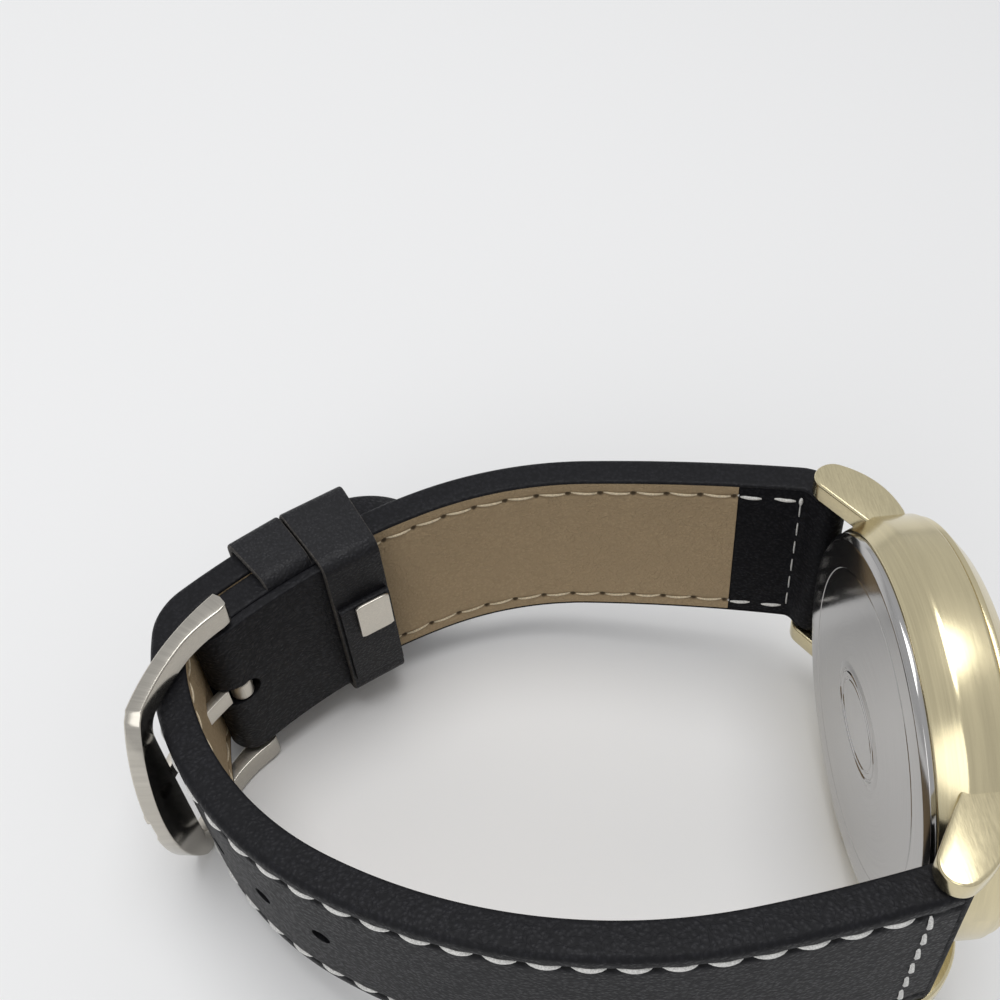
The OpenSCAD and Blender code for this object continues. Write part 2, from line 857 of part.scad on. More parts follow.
module circuit_board() {
    color(board_colour)
        head()
            translate([0, 0, plate_z - 0.35])
                linear_extrude(height = 0.3)
                    difference() {
                        polygon([[-12.2, 0.8], [-9.9, 0.2], [-8.2, 2.4], [-7.8, 7.2], [-5.4, 9.4],
                                 [-2.2, 9.2], [4.4, 7.8], [5, 10.4], [-1, 12.2], [-6.4, 10.8], [-11, 6]]);
                        for (p = pillar_at)
                            translate(p)
                                circle(r = pillar_r + 0.1);
                    }
}

module quartz_can() {
    color(steel_colour)
        head()
            translate([-0.9, 10.4, plate_z - 0.35 - 0.8])
                along_x(0.75, 0, 5.2);
}

// Coil of fine wire wound on a flat core whose ends meet the stator
module coil() {
    color(copper_colour)
        head()
            translate([coil_at.x, coil_at.y, coil_z])
                rotate(coil_dir)
                    difference() {
                        along_x(0.95, 0, coil_len);
                        translate([-1, -0.6, -0.22])
                            cube([coil_len + 2, 1.2, 0.44]);
                    }
}

// Plate that leads the coil's field round the rotor, drawn along the coil
module stator() {
    color(steel_colour)
        head()
            translate([coil_at.x, coil_at.y, coil_z - 0.2])
                rotate(coil_dir)
                    linear_extrude(height = 0.4)
                        difference() {
                            union() {
                                polygon([[-1.2, -0.55], [coil_len + 1.2, -0.55], [coil_len + 1.2, 0.4],
                                         [4.4, coil_drop + 0.5], [1.2, coil_drop + 0.5], [-1.2, 0.4]]);
                                translate([coil_len / 2, coil_drop])
                                    circle(r = 1.8);
                            }
                            polygon([[-0.05, 0.55], [coil_len + 0.05, 0.55], [coil_len + 0.05, 1.05],
                                     [4.4, 2], [1.2, 2], [-0.05, 1.05]]);
                            translate([coil_len / 2, coil_drop])
                                circle(r = stator_bore);
                        }
}

// Crown, stem and setting parts, along 3 o'clock
module crown_tube() {
    color(steel_colour)
        head()
            translate([0, 0, crown_h])
                difference() {
                    along_x(tube_out_r - seat_gap, bore_r, case_r + 0.6);
                    along_x(stem_r + 0.2, bore_r - 1, case_r + 2);
                }
}

module crown() {
    face = crown_reach;
    start = case_r + 0.15;
    grooves = 32;
    color(gold_colour)
        head()
            translate([0, 0, crown_h])
                difference() {
                    rotate([0, 90, 0])
                        rotate_extrude()
                            polygon([[0, start + 1.4], [tube_out_r + 0.3, start + 1.4],
                                     [tube_out_r + 0.3, start], [crown_r - 0.2, start],
                                     [crown_r, start + 0.2], [crown_r, face - 0.2],
                                     [crown_r - 0.2, face], [0, face]]);
                    for (i = [0:grooves - 1])
                        rotate([i * 360 / grooves, 0, 0])
                            translate([0, 0, crown_r + 0.02])
                                along_x(0.16, start - 1, face - 0.45);
                    along_x(stem_r, start, start + 2.2);
                }
}

module crown_gasket() {
    color(rubber_colour)
        head()
            translate([0, 0, crown_h])
                difference() {
                    along_x(tube_out_r + 0.28, case_r + 0.75, case_r + 1.35);
                    along_x(stem_r + seat_gap, case_r, case_r + 2);
                }
}

module stem() {
    color(steel_colour)
        head()
            translate([0, 0, crown_h])
                difference() {
                    along_x(stem_r - seat_gap, 4.6, case_r + 2.3);
                    translate([lever_x - 0.35, 0, 0])
                        rotate([0, 90, 0])
                            ring(stem_r + 1, stem_r - 0.2, 0, 0.7);
                }
}

module setting_lever() {
    color(steel_colour)
        head()
            translate([lever_x, 0, crown_h])
                difference() {
                    translate([-0.25, -1.15, -0.95])
                        cube([0.5, 2.3, 1.25]);
                    along_x(stem_r - 0.2 + run_gap, -1, 1);
                    translate([-1, -stem_r + 0.2 - run_gap, 0])
                        cube([2, 2 * (stem_r - 0.2 + run_gap), 2]);
                }
}

// Spring bars
module bar_tube(at, r, half) {
    tube_half = half - flange_gap - flange_t - pin_travel - 0.05;
    difference() {
        post(at, r, -tube_half, tube_half);
        post(at, r - 0.2, -tube_half + 0.3, tube_half - 0.3);
        post(at, pin_r + run_gap, -reach, reach);
    }
}

module bar_pin(at, r, half) {
    tube_half = half - flange_gap - flange_t - pin_travel - 0.05;
    head_top = tube_half - 0.36;
    translate([at.x, at.y, 0]) {
        disc(r - 0.2 - run_gap, head_top - 1.2, head_top);
        disc(pin_r, head_top, half + pin_bite);
        disc(r - 0.05, half - flange_gap - flange_t, half - flange_gap);
    }
}

module bar_spring(at, r, half) {
    tube_half = half - flange_gap - flange_t - pin_travel - 0.05;
    spring_half = tube_half - 0.36 - 1.2 - pin_travel - 0.05;
    difference() {
        post(at, r - 0.2 - seat_gap, -spring_half, spring_half);
        post(at, r - 0.4, -spring_half - 1, spring_half + 1);
    }
}

module far_bar() {
    color(steel_colour)
        rest_pose()
            children();
}

module near_bar() {
    color(steel_colour)
        rest_pose()
            mirror([0, 1, 0])
                children();
}

module short_bar_tube() {
    far_bar()
        bar_tube(short_bar, tube_r, lug_pin_half);
}

module short_bar_pin_a() {
    far_bar()
        bar_pin(short_bar, tube_r, lug_pin_half);
}

module short_bar_pin_b() {
    far_bar()
        mirror([0, 0, 1])
            bar_pin(short_bar, tube_r, lug_pin_half);
}

module long_bar_tube() {
    near_bar()
        bar_tube(long_bar, tube_r, lug_pin_half);
}

module long_bar_pin_a() {
    near_bar()
        bar_pin(long_bar, tube_r, lug_pin_half);
}

module long_bar_pin_b() {
    near_bar()
        mirror([0, 0, 1])
            bar_pin(long_bar, tube_r, lug_pin_half);
}

module buckle_bar_tube() {
    far_bar()
        bar_tube(buckle_bar, buckle_tube_r, buckle_pin_half);
}

module buckle_bar_pin_a() {
    far_bar()
        bar_pin(buckle_bar, buckle_tube_r, buckle_pin_half);
}

module buckle_bar_pin_b() {
    far_bar()
        mirror([0, 0, 1])
            bar_pin(buckle_bar, buckle_tube_r, buckle_pin_half);
}

module bar_springs() {
    color(steel_colour)
        rest_pose() {
            bar_spring(short_bar, tube_r, lug_pin_half);
            mirror([0, 1, 0])
                bar_spring(long_bar, tube_r, lug_pin_half);
            bar_spring(buckle_bar, buckle_tube_r, buckle_pin_half);
        }
}

// Short strap
// The inner layers stop before the fold, and the lining also under the fixed keeper
inner_end = bar_angle - 2.6;
lining_end = fixed_from - keeper_gap_angle;
bar_bore = tube_r + 0.1;

module short_layer(d0, d1, half_w, last) {
    straight_band(short_bar, short_start, lug_run, d0, d1, half_w);
    inner_band(short_run[0], d0, d1, half_w);
    band(short_run[1], d0, d1, half_w);
    inner_band(short_run[2], d0, d1, half_w);
    pick_arc(wrist_arc, wrist_arc[3], last, d0, d1, half_w);
}

module short_strap_leather() {
    color(leather_colour)
        rest_pose()
            difference() {
                intersection() {
                    short_layer(-half_t, half_t, strap_w, bar_angle);
                    strap_outline();
                }
                intersection() {
                    short_layer(-half_t - cut, lining_top, strap_w, bar_angle);
                    strap_outline(lining_inset);
                }
                short_layer(lining_top - 0.3, core_top, core_half, inner_end);
                post(short_bar, bar_bore, -reach, reach);
                pick_arc(wrist_arc, lining_end, bar_angle + 1, -half_t - cut, lining_top, strap_w);
                post(buckle_bar, fold_r + seat_gap, -reach, reach);
                tongue_slot();
            }
}

module short_strap_core() {
    color(core_colour)
        rest_pose()
            difference() {
                short_layer(lining_top, core_top - seat_gap, core_half - seat_gap, inner_end);
                post(short_bar, bar_bore, -reach, reach);
                post(buckle_bar, fold_r + seat_gap, -reach, reach);
                tongue_slot();
            }
}

// Angle of the second arc where the lug tab ends and the lining begins
function tab_stop(run) = run[1][3] + degrees_of(lug_tab_len - arc_len(run[0]), run[1][2]);

module short_strap_lining() {
    color(lining_colour)
        rest_pose()
            intersection() {
                union() {
                    pick_arc(short_run[1], tab_stop(short_run), short_run[1][4],
                             -half_t, lining_top - seat_gap, strap_w);
                    inner_band(short_run[2], -half_t, lining_top - seat_gap, strap_w);
                    pick_arc(wrist_arc, wrist_arc[3], lining_end, -half_t, lining_top - seat_gap, strap_w);
                }
                strap_outline(lining_inset + seat_gap);
            }
}

module short_lug_tab() {
    color(leather_colour)
        rest_pose()
            intersection() {
                union() {
                    wrap(short_bar, short_start, bar_bore, half_t, strap_w);
                    difference() {
                        straight_band(short_bar, short_start, lug_run, -half_t, lining_top - seat_gap, strap_w);
                        post(short_bar, bar_bore, -reach, reach);
                    }
                    inner_band(short_run[0], -half_t, lining_top - seat_gap, strap_w);
                    pick_arc(short_run[1], short_run[1][3], tab_stop(short_run),
                             -half_t, lining_top - seat_gap, strap_w);
                }
                strap_outline(lining_inset + seat_gap);
            }
}

// Slot in the fold for the tongue, with a round end
module tongue_slot() {
    translate([wrist_c.x, wrist_c.y, 0])
        rotate([0, 0, bar_angle])
            translate([wrist_r - bar_drop, 0, 0])
                union() {
                    translate([-4, -2.4, -slot_half])
                        cube([5.9, 6, 2 * slot_half]);
                    rotate([0, -90, 0])
                        translate([0, -2.4, -1.9])
                            cylinder(r = slot_half, h = 5.9);
                }
}

// Leather turned round the buckle bar and laid back on the inner side
module buckle_fold() {
    cap_r = half_t;
    color(leather_colour)
        rest_pose()
            difference() {
                intersection() {
                    union() {
                        pick_arc(wrist_arc, fold_tab_end, bar_angle, -fold_in, -half_t - seat_gap, strap_w);
                        post(buckle_bar, fold_r - seat_gap, -strap_w, strap_w);
                        difference() {
                            post(polar(wrist_c, wrist_r, bar_angle), cap_r, -strap_w, strap_w);
                            pick_arc(wrist_arc, bar_angle - 10, bar_angle, -4, 4, strap_w);
                        }
                    }
                    strap_outline();
                }
                post(buckle_bar, buckle_tube_r + run_gap, -reach, reach);
                tongue_slot();
            }
}

// Long strap, in the mirrored frame
module mirrored_pose() {
    rest_pose()
        mirror([0, 1, 0])
            children();
}

long_tab_stop = long_run[0][3] + degrees_of(lug_tab_len, long_radii[0]);

module long_layer(d0, d1, half_w) {
    straight_band(long_bar, long_start, lug_run, d0, d1, half_w);
    inner_band(long_run[0], d0, d1, half_w);
    band(long_run[1], d0, d1, half_w);
    inner_band(long_run[2], d0, d1, half_w);
}

// Closing bend and tail at their constant width, with a rounded tip, an inset inside the strap's edge
module tail_layer(d0, d1, inset) {
    tip = place_at([tail_arc], arc_len(tail_arc));
    band(long_run[3], d0, d1, tip_w / 2 - inset);
    intersection() {
        inner_band(tail_arc, d0, d1, tip_w / 2 - inset);
        translate([tip.x, tip.y, 0])
            rotate([0, 0, tip[2]])
                rotate([0, 90, 0])
                    linear_extrude(height = 20, center = true)
                        tip_outline(inset);
    }
}

// Outline of the tail seen from outside: straight sides, then two arcs that run into a round nose
module tip_outline(inset) {
    full = tip_w / 2;
    half_w = full - inset;
    nose_r = 3.2;
    rise = tip_len - nose_r;
    side_r = (rise * rise + full * full - nose_r * nose_r) / (2 * (full - nose_r));
    nose_y = -nose_r + (nose_r - inset) * rise / (side_r - nose_r);
    union() {
        translate([-half_w, -reach])
            square([2 * half_w, reach - tip_len]);
        intersection() {
            translate([-half_w, -tip_len - 0.01])
                square([2 * half_w, tip_len + nose_y]);
            translate([full - side_r, -tip_len])
                circle(r = side_r - inset);
            translate([side_r - full, -tip_len])
                circle(r = side_r - inset);
        }
        translate([0, -nose_r])
            circle(r = nose_r - inset);
    }
}

// Punched holes, square to the strap
module strap_holes() {
    for (i = hole_steps) {
        p = place_at(long_run, used_hole_s + i * hole_pitch);
        translate([p.x, p.y, 0])
            rotate([0, 0, p[2]])
                translate([-4, 0, 0])
                    along_x(hole_r, 0, 8);
    }
}

// Hole that the tongue passes through, stretched along the tongue
module used_hole() {
    mirror([0, 1, 0])
        pick_arc([tongue_c.x, tongue_c.y, frame_r, 0, 0], tongue_from + 4, tongue_to - 6,
                 -tongue_t / 2 - 0.3, tongue_t / 2 + 1.1, slot_half);
}

module long_cuts() {
    post(long_bar, bar_bore, -reach, reach);
    strap_holes();
    used_hole();
}

// Outer leather of the long strap before its holes: a channel with the lining and core left out
module long_channel() {
    difference() {
        difference() {
            union() {
                intersection() {
                    long_layer(-half_t, half_t, strap_w);
                    strap_outline();
                }
                tail_layer(-half_t, half_t, -nest);
            }
            union() {
                intersection() {
                    long_layer(-half_t - cut, lining_top, strap_w);
                    strap_outline(lining_inset);
                }
                tail_layer(-half_t - cut, lining_top, lining_inset - nest);
            }
        }
        union() {
            long_layer(lining_top - 0.3, core_top, core_half);
            tail_layer(lining_top - 0.3, core_top, 1.4);
        }
    }
}

module long_strap_leather() {
    color(leather_colour)
        mirrored_pose()
            difference() {
                long_channel();
                long_cuts();
            }
}

module long_strap_core() {
    color(core_colour)
        mirrored_pose()
            difference() {
                union() {
                    long_layer(lining_top, core_top - seat_gap, core_half - seat_gap);
                    tail_layer(lining_top, core_top - seat_gap, 1.4 + seat_gap);
                }
                long_cuts();
            }
}

module long_strap_lining() {
    color(lining_colour)
        mirrored_pose()
            difference() {
                union() {
                    intersection() {
                        union() {
                            inner_band([long_run[0][0], long_run[0][1], long_run[0][2], long_tab_stop,
                                        long_run[0][4]], -half_t, lining_top - seat_gap, strap_w, 0);
                            band(long_run[1], -half_t, lining_top - seat_gap, strap_w);
                            inner_band(long_run[2], -half_t, lining_top - seat_gap, strap_w);
                        }
                        strap_outline(lining_inset + seat_gap);
                    }
                    tail_layer(-half_t, lining_top - seat_gap, lining_inset + seat_gap - nest);
                }
                long_cuts();
            }
}

module long_lug_tab() {
    color(leather_colour)
        mirrored_pose()
            difference() {
                intersection() {
                    union() {
                        wrap(long_bar, long_start, bar_bore, half_t, strap_w);
                        straight_band(long_bar, long_start, lug_run, -half_t, lining_top - seat_gap, strap_w);
                        inner_band([long_run[0][0], long_run[0][1], long_run[0][2], long_run[0][3],
                                    long_tab_stop], -half_t, lining_top - seat_gap, strap_w, joint, 0);
                    }
                    strap_outline(lining_inset + seat_gap);
                }
                post(long_bar, bar_bore, -reach, reach);
            }
}

// Keepers
module round_box(x0, x1, half, r) {
    union() {
        translate([x0 + r, -half])
            square([x1 - x0 - 2 * r, 2 * half]);
        translate([x0, -half + r])
            square([x1 - x0, 2 * half - 2 * r]);
        for (x = [x0 + r, x1 - r])
            for (y = [-half + r, half - r])
                translate([x, y])
                    circle(r = r);
    }
}

// Closed leather loop round the wrist arc between two angles and two distances
module keeper_loop(a0, a1, d_in, d_out, inner_t = keeper_t) {
    translate([wrist_c.x, wrist_c.y, 0])
        rotate([0, 0, a0])
            rotate_extrude(angle = a1 - a0)
                difference() {
                    round_box(wrist_r + d_in, wrist_r + d_out, keeper_half + keeper_t, 0.8);
                    translate([wrist_r + d_in + inner_t, -keeper_half])
                        square([d_out - d_in - keeper_t - inner_t, 2 * keeper_half]);
                }
}

module fixed_keeper() {
    color(leather_colour)
        rest_pose()
            keeper_loop(fixed_from, fixed_to, -half_t + seat_gap, keeper_out, lining_t - 2 * seat_gap);
}

floating_in = fold_in + slide_gap + keeper_t;

module floating_keeper() {
    color(leather_colour)
        rest_pose()
            difference() {
                union() {
                    keeper_loop(floating_from, floating_to, -floating_in, keeper_out);
                    translate([wrist_c.x, wrist_c.y, 0])
                        rotate([0, 0, floating_from])
                            rotate_extrude(angle = floating_angle)
                                translate([wrist_r - floating_in - keeper_t + 0.1, -keeper_half - keeper_t + 0.6])
                                    square([keeper_t, keeper_half + keeper_t + flap_top - 0.6]);
                }
                keeper_clip_solid(seat_gap);
            }
}

// Flat metal clip whose two prongs pass through both ends of the leather
module keeper_clip_solid(grow) {
    mid = (floating_from + floating_to) / 2;
    flap_face = wrist_r - floating_in - keeper_t + 0.1;
    translate([wrist_c.x, wrist_c.y, 0])
        rotate([0, 0, mid]) {
            translate([flap_face - clip_t - 0.12 - grow, -clip_w / 2 - grow, flap_top - clip_h + 0.5 - grow])
                cube([clip_t + 2 * grow, clip_w + 2 * grow, clip_h + 2 * grow]);
            for (side = [-1, 1])
                translate([flap_face - 0.2, side * 1.4 - 0.3 - grow, flap_top - clip_h / 2 - 0.3 - grow])
                    cube([1.3, 0.6 + 2 * grow, 0.6 + 2 * grow]);
        }
}

module keeper_clip() {
    color(steel_colour)
        rest_pose()
            keeper_clip_solid(0);
}

// Buckle frame
module buckle_frame() {
    color(steel_colour)
        rest_pose()
            difference() {
                union() {
                    difference() {
                        intersection() {
                            pick_arc([frame_c.x, frame_c.y, frame_r, 0, 0], frame_end, rim_angle + 2,
                                     -frame_t / 2, frame_t / 2, frame_half);
                            frame_cutter(bow_r, frame_half + 0.5);
                        }
                        frame_cutter(bow_r - rim_w, arm_in);
                        post(buckle_bar, hub_r + 1.2, -arm_in - seat_gap, arm_in + seat_gap);
                    }
                    for (side = [0, 1])
                        mirror([0, 0, side])
                            post(buckle_bar, hub_r, arm_in, frame_half);
                }
                for (side = [0, 1])
                    mirror([0, 0, side])
                        post(buckle_bar, pin_r + run_gap, arm_in - cut, arm_in + pin_bite + 0.1);
            }
}

// Outline of the frame seen from outside, cut square through the plate at the rim
module frame_cutter(r, half) {
    aim = rim_angle - 12;
    translate([frame_c.x, frame_c.y, 0])
        rotate([0, 0, aim])
            translate([0, frame_r * sin(rim_angle - aim), 0])
                rotate([0, 90, 0])
                    linear_extrude(height = frame_r + 10)
                        intersection() {
                            translate([-half, -60])
                                square([2 * half, 61]);
                            translate([0, -bow_r])
                                circle(r = r);
                        }
}

// Tongue hinged on the buckle bar
module buckle_tongue() {
    color(steel_colour)
        rest_pose()
            difference() {
                union() {
                    post(buckle_bar, tongue_hub_r, -tongue_w / 2, tongue_w / 2);
                    pick_arc([tongue_c.x, tongue_c.y, frame_r, 0, 0], tongue_from, tongue_to,
                             -tongue_t / 2, tongue_t / 2, tongue_w / 2);
                }
                post(buckle_bar, buckle_tube_r + run_gap, -reach, reach);
            }
}

case_body();
case_back();
case_back_gasket();
bezel();
crystal();
crystal_gasket();
dial_ring();
dial();
hour_markers();
hour_hand();
minute_hand();
second_hand();
movement_holder();
main_plate();
train_bridge();
bridge_screws();
battery();
battery_clamp();
circuit_board();
quartz_can();
coil();
stator();
rotor();
intermediate_wheel();
seconds_wheel();
third_wheel();
centre_wheel();
minute_wheel();
hour_wheel();
crown_tube();
crown();
crown_gasket();
stem();
setting_lever();
short_strap_leather();
short_strap_core();
short_strap_lining();
short_lug_tab();
buckle_fold();
long_strap_leather();
long_strap_core();
long_strap_lining();
long_lug_tab();
fixed_keeper();
floating_keeper();
keeper_clip();
buckle_frame();
buckle_tongue();
short_bar_tube();
short_bar_pin_a();
short_bar_pin_b();
long_bar_tube();
long_bar_pin_a();
long_bar_pin_b();
buckle_bar_tube();
buckle_bar_pin_a();
buckle_bar_pin_b();
bar_springs();
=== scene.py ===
"""Analog wristwatch with a padded leather strap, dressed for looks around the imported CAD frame.

Lengths are in millimetres, and every shape is a grid of places. On a strap a place is (distance along it,
distance out of its middle, distance across it). On the head it is (to 3 o'clock, to 12 o'clock, out)."""

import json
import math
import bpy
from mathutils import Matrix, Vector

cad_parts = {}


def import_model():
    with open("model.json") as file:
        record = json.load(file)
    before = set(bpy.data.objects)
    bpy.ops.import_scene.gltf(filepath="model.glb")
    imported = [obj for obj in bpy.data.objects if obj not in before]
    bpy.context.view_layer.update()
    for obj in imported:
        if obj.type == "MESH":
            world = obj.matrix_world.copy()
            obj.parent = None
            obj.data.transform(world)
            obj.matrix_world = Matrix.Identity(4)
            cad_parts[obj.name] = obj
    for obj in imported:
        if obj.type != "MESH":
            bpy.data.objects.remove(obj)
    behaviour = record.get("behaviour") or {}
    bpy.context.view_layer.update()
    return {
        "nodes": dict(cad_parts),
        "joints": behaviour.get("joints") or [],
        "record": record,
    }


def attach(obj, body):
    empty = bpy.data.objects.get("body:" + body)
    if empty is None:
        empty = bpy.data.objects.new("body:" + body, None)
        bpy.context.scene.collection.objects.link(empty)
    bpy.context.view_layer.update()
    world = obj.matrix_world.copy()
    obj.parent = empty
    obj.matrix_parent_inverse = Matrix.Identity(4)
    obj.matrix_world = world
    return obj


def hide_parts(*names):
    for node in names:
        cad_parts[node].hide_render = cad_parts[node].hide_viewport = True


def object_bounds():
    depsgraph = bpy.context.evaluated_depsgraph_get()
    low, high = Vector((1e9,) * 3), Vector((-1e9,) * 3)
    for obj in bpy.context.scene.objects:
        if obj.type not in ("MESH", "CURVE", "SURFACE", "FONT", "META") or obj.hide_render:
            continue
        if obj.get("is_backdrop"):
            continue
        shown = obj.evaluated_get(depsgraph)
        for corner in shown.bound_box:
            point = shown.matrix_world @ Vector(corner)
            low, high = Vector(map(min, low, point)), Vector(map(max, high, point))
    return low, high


bl_info = {
    "name": "Leather strap wristwatch",
    "version": (1, 0, 0),
    "blender": (4, 5, 0),
    "location": "View3D > Sidebar > Watch",
    "description": "Leather, thread and metal pieces of an analog wristwatch, with its stage and camera",
    "category": "Object",
}

import bmesh
import bpy
import numpy as np
from bpy.props import FloatProperty, FloatVectorProperty, PointerProperty
from mathutils import Matrix

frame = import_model()

# The watch's own frame: X leaves the dial, Y points to 12 o'clock, Z to 9 o'clock
MM = 0.001
JOINTS = {joint["name"]: joint for joint in frame["joints"]}
BACK = frame["record"]["mounts"][0]
ORIGIN = np.array(BACK["pos_m"], float)
AXIS_X = -np.array(BACK["axis"], float)
AXIS_Z = np.array(JOINTS["buckle_swing"]["axis"], float)
AXES = np.stack([AXIS_X, np.cross(AXIS_Z, AXIS_X), AXIS_Z])

# Strap sizes, as in the part's source
BAR = np.array([1.0, 21.2])
LEAD = 1.2
SHORT_START = 114
SHORT_RADII = (3, 200, 39, 65)
SHORT_TURNS = (52, 6.5, 27, 22.4)
LONG_START = 169.2
LONG_RADII = (186, 57)
LONG_TURNS = (4.6, 39)
BEND_R = 34
CLOSING_R = 5
STRAP_T = 3.5
HALF_T = STRAP_T / 2
LUG_HALF_W = 11.0
TIP_HALF_W = 10.2
TAPER_X = -63.0
LINING_T = 0.85
LINING_TOP = -HALF_T + LINING_T
CORE_TOP = HALF_T - 1.15
LINING_INSET = 0.35
SEAT = 0.02
TAB_LENGTH = 9.0
TAB_END = TAB_LENGTH + LEAD
BAR_BORE = 0.85
BAR_DROP = 1.7
TAB_T = 1.2
FOLD_IN = HALF_T + TAB_T + SEAT
LAYER_GAP = 0.1
SLIDE_GAP = 0.12
KEEPER_T = 0.9
KEEPER_HALF = TIP_HALF_W + 0.3
KEEPER_OUT = HALF_T + LAYER_GAP + STRAP_T + SLIDE_GAP + KEEPER_T
FIXED_W = 5.6
FLOATING_W = 6.8
FLOATING_IN = FOLD_IN + SLIDE_GAP + KEEPER_T
USED_HOLE = 82.2
HOLE_PITCH = 6.8
HOLE_STEPS = (-4, -3, -2, -1, 1, 2)
TIP_LEN = 12.0
NOSE_R = 3.2
PUNCH_R = 1.0
BAR_CUT_R = 1.42

# Half widths of the paddings, and of the hollows that take them
SHORT_CORE = 9.0
SHORT_HOLLOW = 9.18
LONG_CORE = 8.76
LONG_HOLLOW = 8.78

# Sewing: pitch of the stitches, distance of their rows from the edge, and size of a needle mark
PITCH = 3.58
ROW = 1.9
NEEDLE_R = 0.42

# Buckle sizes
FRAME_R = 26.5
FRAME_T = 1.43
FRAME_HALF = 13.6
ARM_W = 2.7
BOW = 4.6
FRAME_ANGLE = 138.6
CORNER_ANGLE = 167.0
HUB_R = 1.25
FRAME_OUT = 0.95
EDGE_R = 0.16
BOW_MORE = 0.2
INNER_EDGE = -4.8
INNER_CORNER_R = 1.8
OUTER_CORNER = 0.25
TONGUE_W = 2.2
TONGUE_T = 1.0
SLOT_HALF = TONGUE_W / 2 + 0.25

# Head sizes
CASE_R = 20.5
CASE_TOP = 7.4
CASE_FOOT_R = 19.35
CASE_FOOT_TOP = 3.4
SNAP_TOP = 2.4
BACK_FACE_R = 18.6
BACK_RIM_R = 19.2
BACK_SNAP_R = 18.2
BACK_T = 1.0
BEZEL_R = 18.4
BEZEL_TOP = 9.4
BEZEL_OUT_R = 20.2
BEZEL_SEAT = 6.6
BORE_R = 17.4
CRYSTAL_R = 17.1
CRYSTAL_LOW = 8.0
CRYSTAL_T = 1.7
LUG_GAP = 22.3
LUG_T = 2.4
LUG_TIP_R = 2.0
LUG_ROOT = CASE_R - 5.5
LUG_LOW = 3.2
DIAL_TOP = 6.4
DIAL_LOW = 6.0
DIAL_R = 17.3
DIAL_HOLE = 0.91
MARKS_R = 16.1
HOUR_REACH = 9.5
MINUTE_REACH = 13.8
SECOND_REACH = 14.6
HAND_STEP = 0.4
CROWN_H = 3.9
CROWN_R = 2.9
CROWN_REACH = 23.4
GROOVES = 32
GROOVE_DEPTH = 0.17


def polar(centre, radius, degrees):
    """Point at a radius and an angle from a centre."""
    a = math.radians(degrees)
    return np.array([centre[0] + radius * math.cos(a), centre[1] + radius * math.sin(a)])


def chain(point, heading, radii, turns):
    """Arcs that follow one another with no corner, as (centre, radius, first angle, last angle)."""
    arcs = []
    for radius, turn in zip(radii, turns):
        centre = polar(point, radius, heading + 90)
        arcs.append((centre, radius, heading - 90, heading - 90 + turn))
        point = polar(centre, radius, heading - 90 + turn)
        heading += turn
    return arcs


def crossing(c1, r1, c2, r2):
    """The crossing of two circles that lies right of the line between their centres."""
    d = c2 - c1
    length = np.hypot(*d)
    a = (length**2 + r1**2 - r2**2) / (2 * length)
    h = math.sqrt(r1**2 - a**2)
    return c1 + a * d / length + h * np.array([d[1], -d[0]]) / length


def direction(start, end):
    """Angle of the line from one point to another, from 0 to 360 degrees."""
    return math.degrees(math.atan2(end[1] - start[1], end[0] - start[0])) % 360


class Run:
    """Middle line of a strap: a straight lead from its spring bar, then arcs that all turn one way."""

    def __init__(self, heading, arcs, mirrored):
        self.heading = math.radians(heading)
        self.arcs = arcs
        self.side = -1.0 if mirrored else 1.0
        self.length = LEAD + sum(r * math.radians(b - a) for _, r, a, b in arcs)

    def at(self, s):
        """Middle points and outward directions: bar + s (cos h, sin h), then centre + r (cos a, sin a)."""
        s = np.asarray(s, float)
        h = self.heading
        x, y = BAR[0] + s * math.cos(h), BAR[1] + s * math.sin(h)
        a = np.full(s.shape, h - math.pi / 2)
        start = LEAD
        for centre, radius, first, last in self.arcs:
            turn = math.radians(first) + (s - start) / radius
            on = s >= start
            x = np.where(on, centre[0] + radius * np.cos(turn), x)
            y = np.where(on, centre[1] + radius * np.sin(turn), y)
            a = np.where(on, turn, a)
            start += radius * math.radians(last - first)
        return grid(x, y * self.side), grid(np.cos(a), np.sin(a) * self.side)

    def points(self, s, d, z):
        """Points of the watch frame at arrays of distances along, outwards and across."""
        s, d, z = np.broadcast_arrays(s, d, z)
        mid, out = self.at(s)
        return np.concatenate([mid + out * d[..., None], z[..., None]], -1)

    def half_width(self, s):
        """Half of the strap's width, which narrows evenly along X and stays even from the buckle on."""
        return np.interp(self.at(s)[0][..., 0], [TAPER_X, BAR[0]], [TIP_HALF_W, LUG_HALF_W])


def grid(*parts):
    """Coordinates of matching shapes, joined into one array of places."""
    return np.stack(np.broadcast_arrays(*parts), -1)


def around(centre, radius, angle, z):
    """Places about an axis along Z: (c + r cos a, c + r sin a, z), with the angle in radians."""
    return grid(centre[0] + radius * np.cos(angle), centre[1] + radius * np.sin(angle), z)


SHORT_ARCS = chain(polar(BAR, LEAD, SHORT_START), SHORT_START, SHORT_RADII, SHORT_TURNS)
WRIST_C, WRIST_R, _, BAR_ANGLE = SHORT_ARCS[3]
SHORT = Run(SHORT_START, SHORT_ARCS, False)
BUCKLE_BAR = polar(WRIST_C, WRIST_R - BAR_DROP, BAR_ANGLE)
FOLD_END = BAR_ANGLE - 14
TAIL_PAST_FOLD = 10
FIXED_TO = BAR_ANGLE - 5.6
FIXED_FROM = FIXED_TO - math.degrees(FIXED_W / WRIST_R)
FLOATING_TO = FIXED_FROM - math.degrees(0.2 / WRIST_R)
FLOATING_FROM = FLOATING_TO - math.degrees(FLOATING_W / WRIST_R)
FLOATING_MID = math.radians((FLOATING_FROM + FLOATING_TO) / 2)
FLAP_R = WRIST_R - FLOATING_IN - KEEPER_T + 0.1


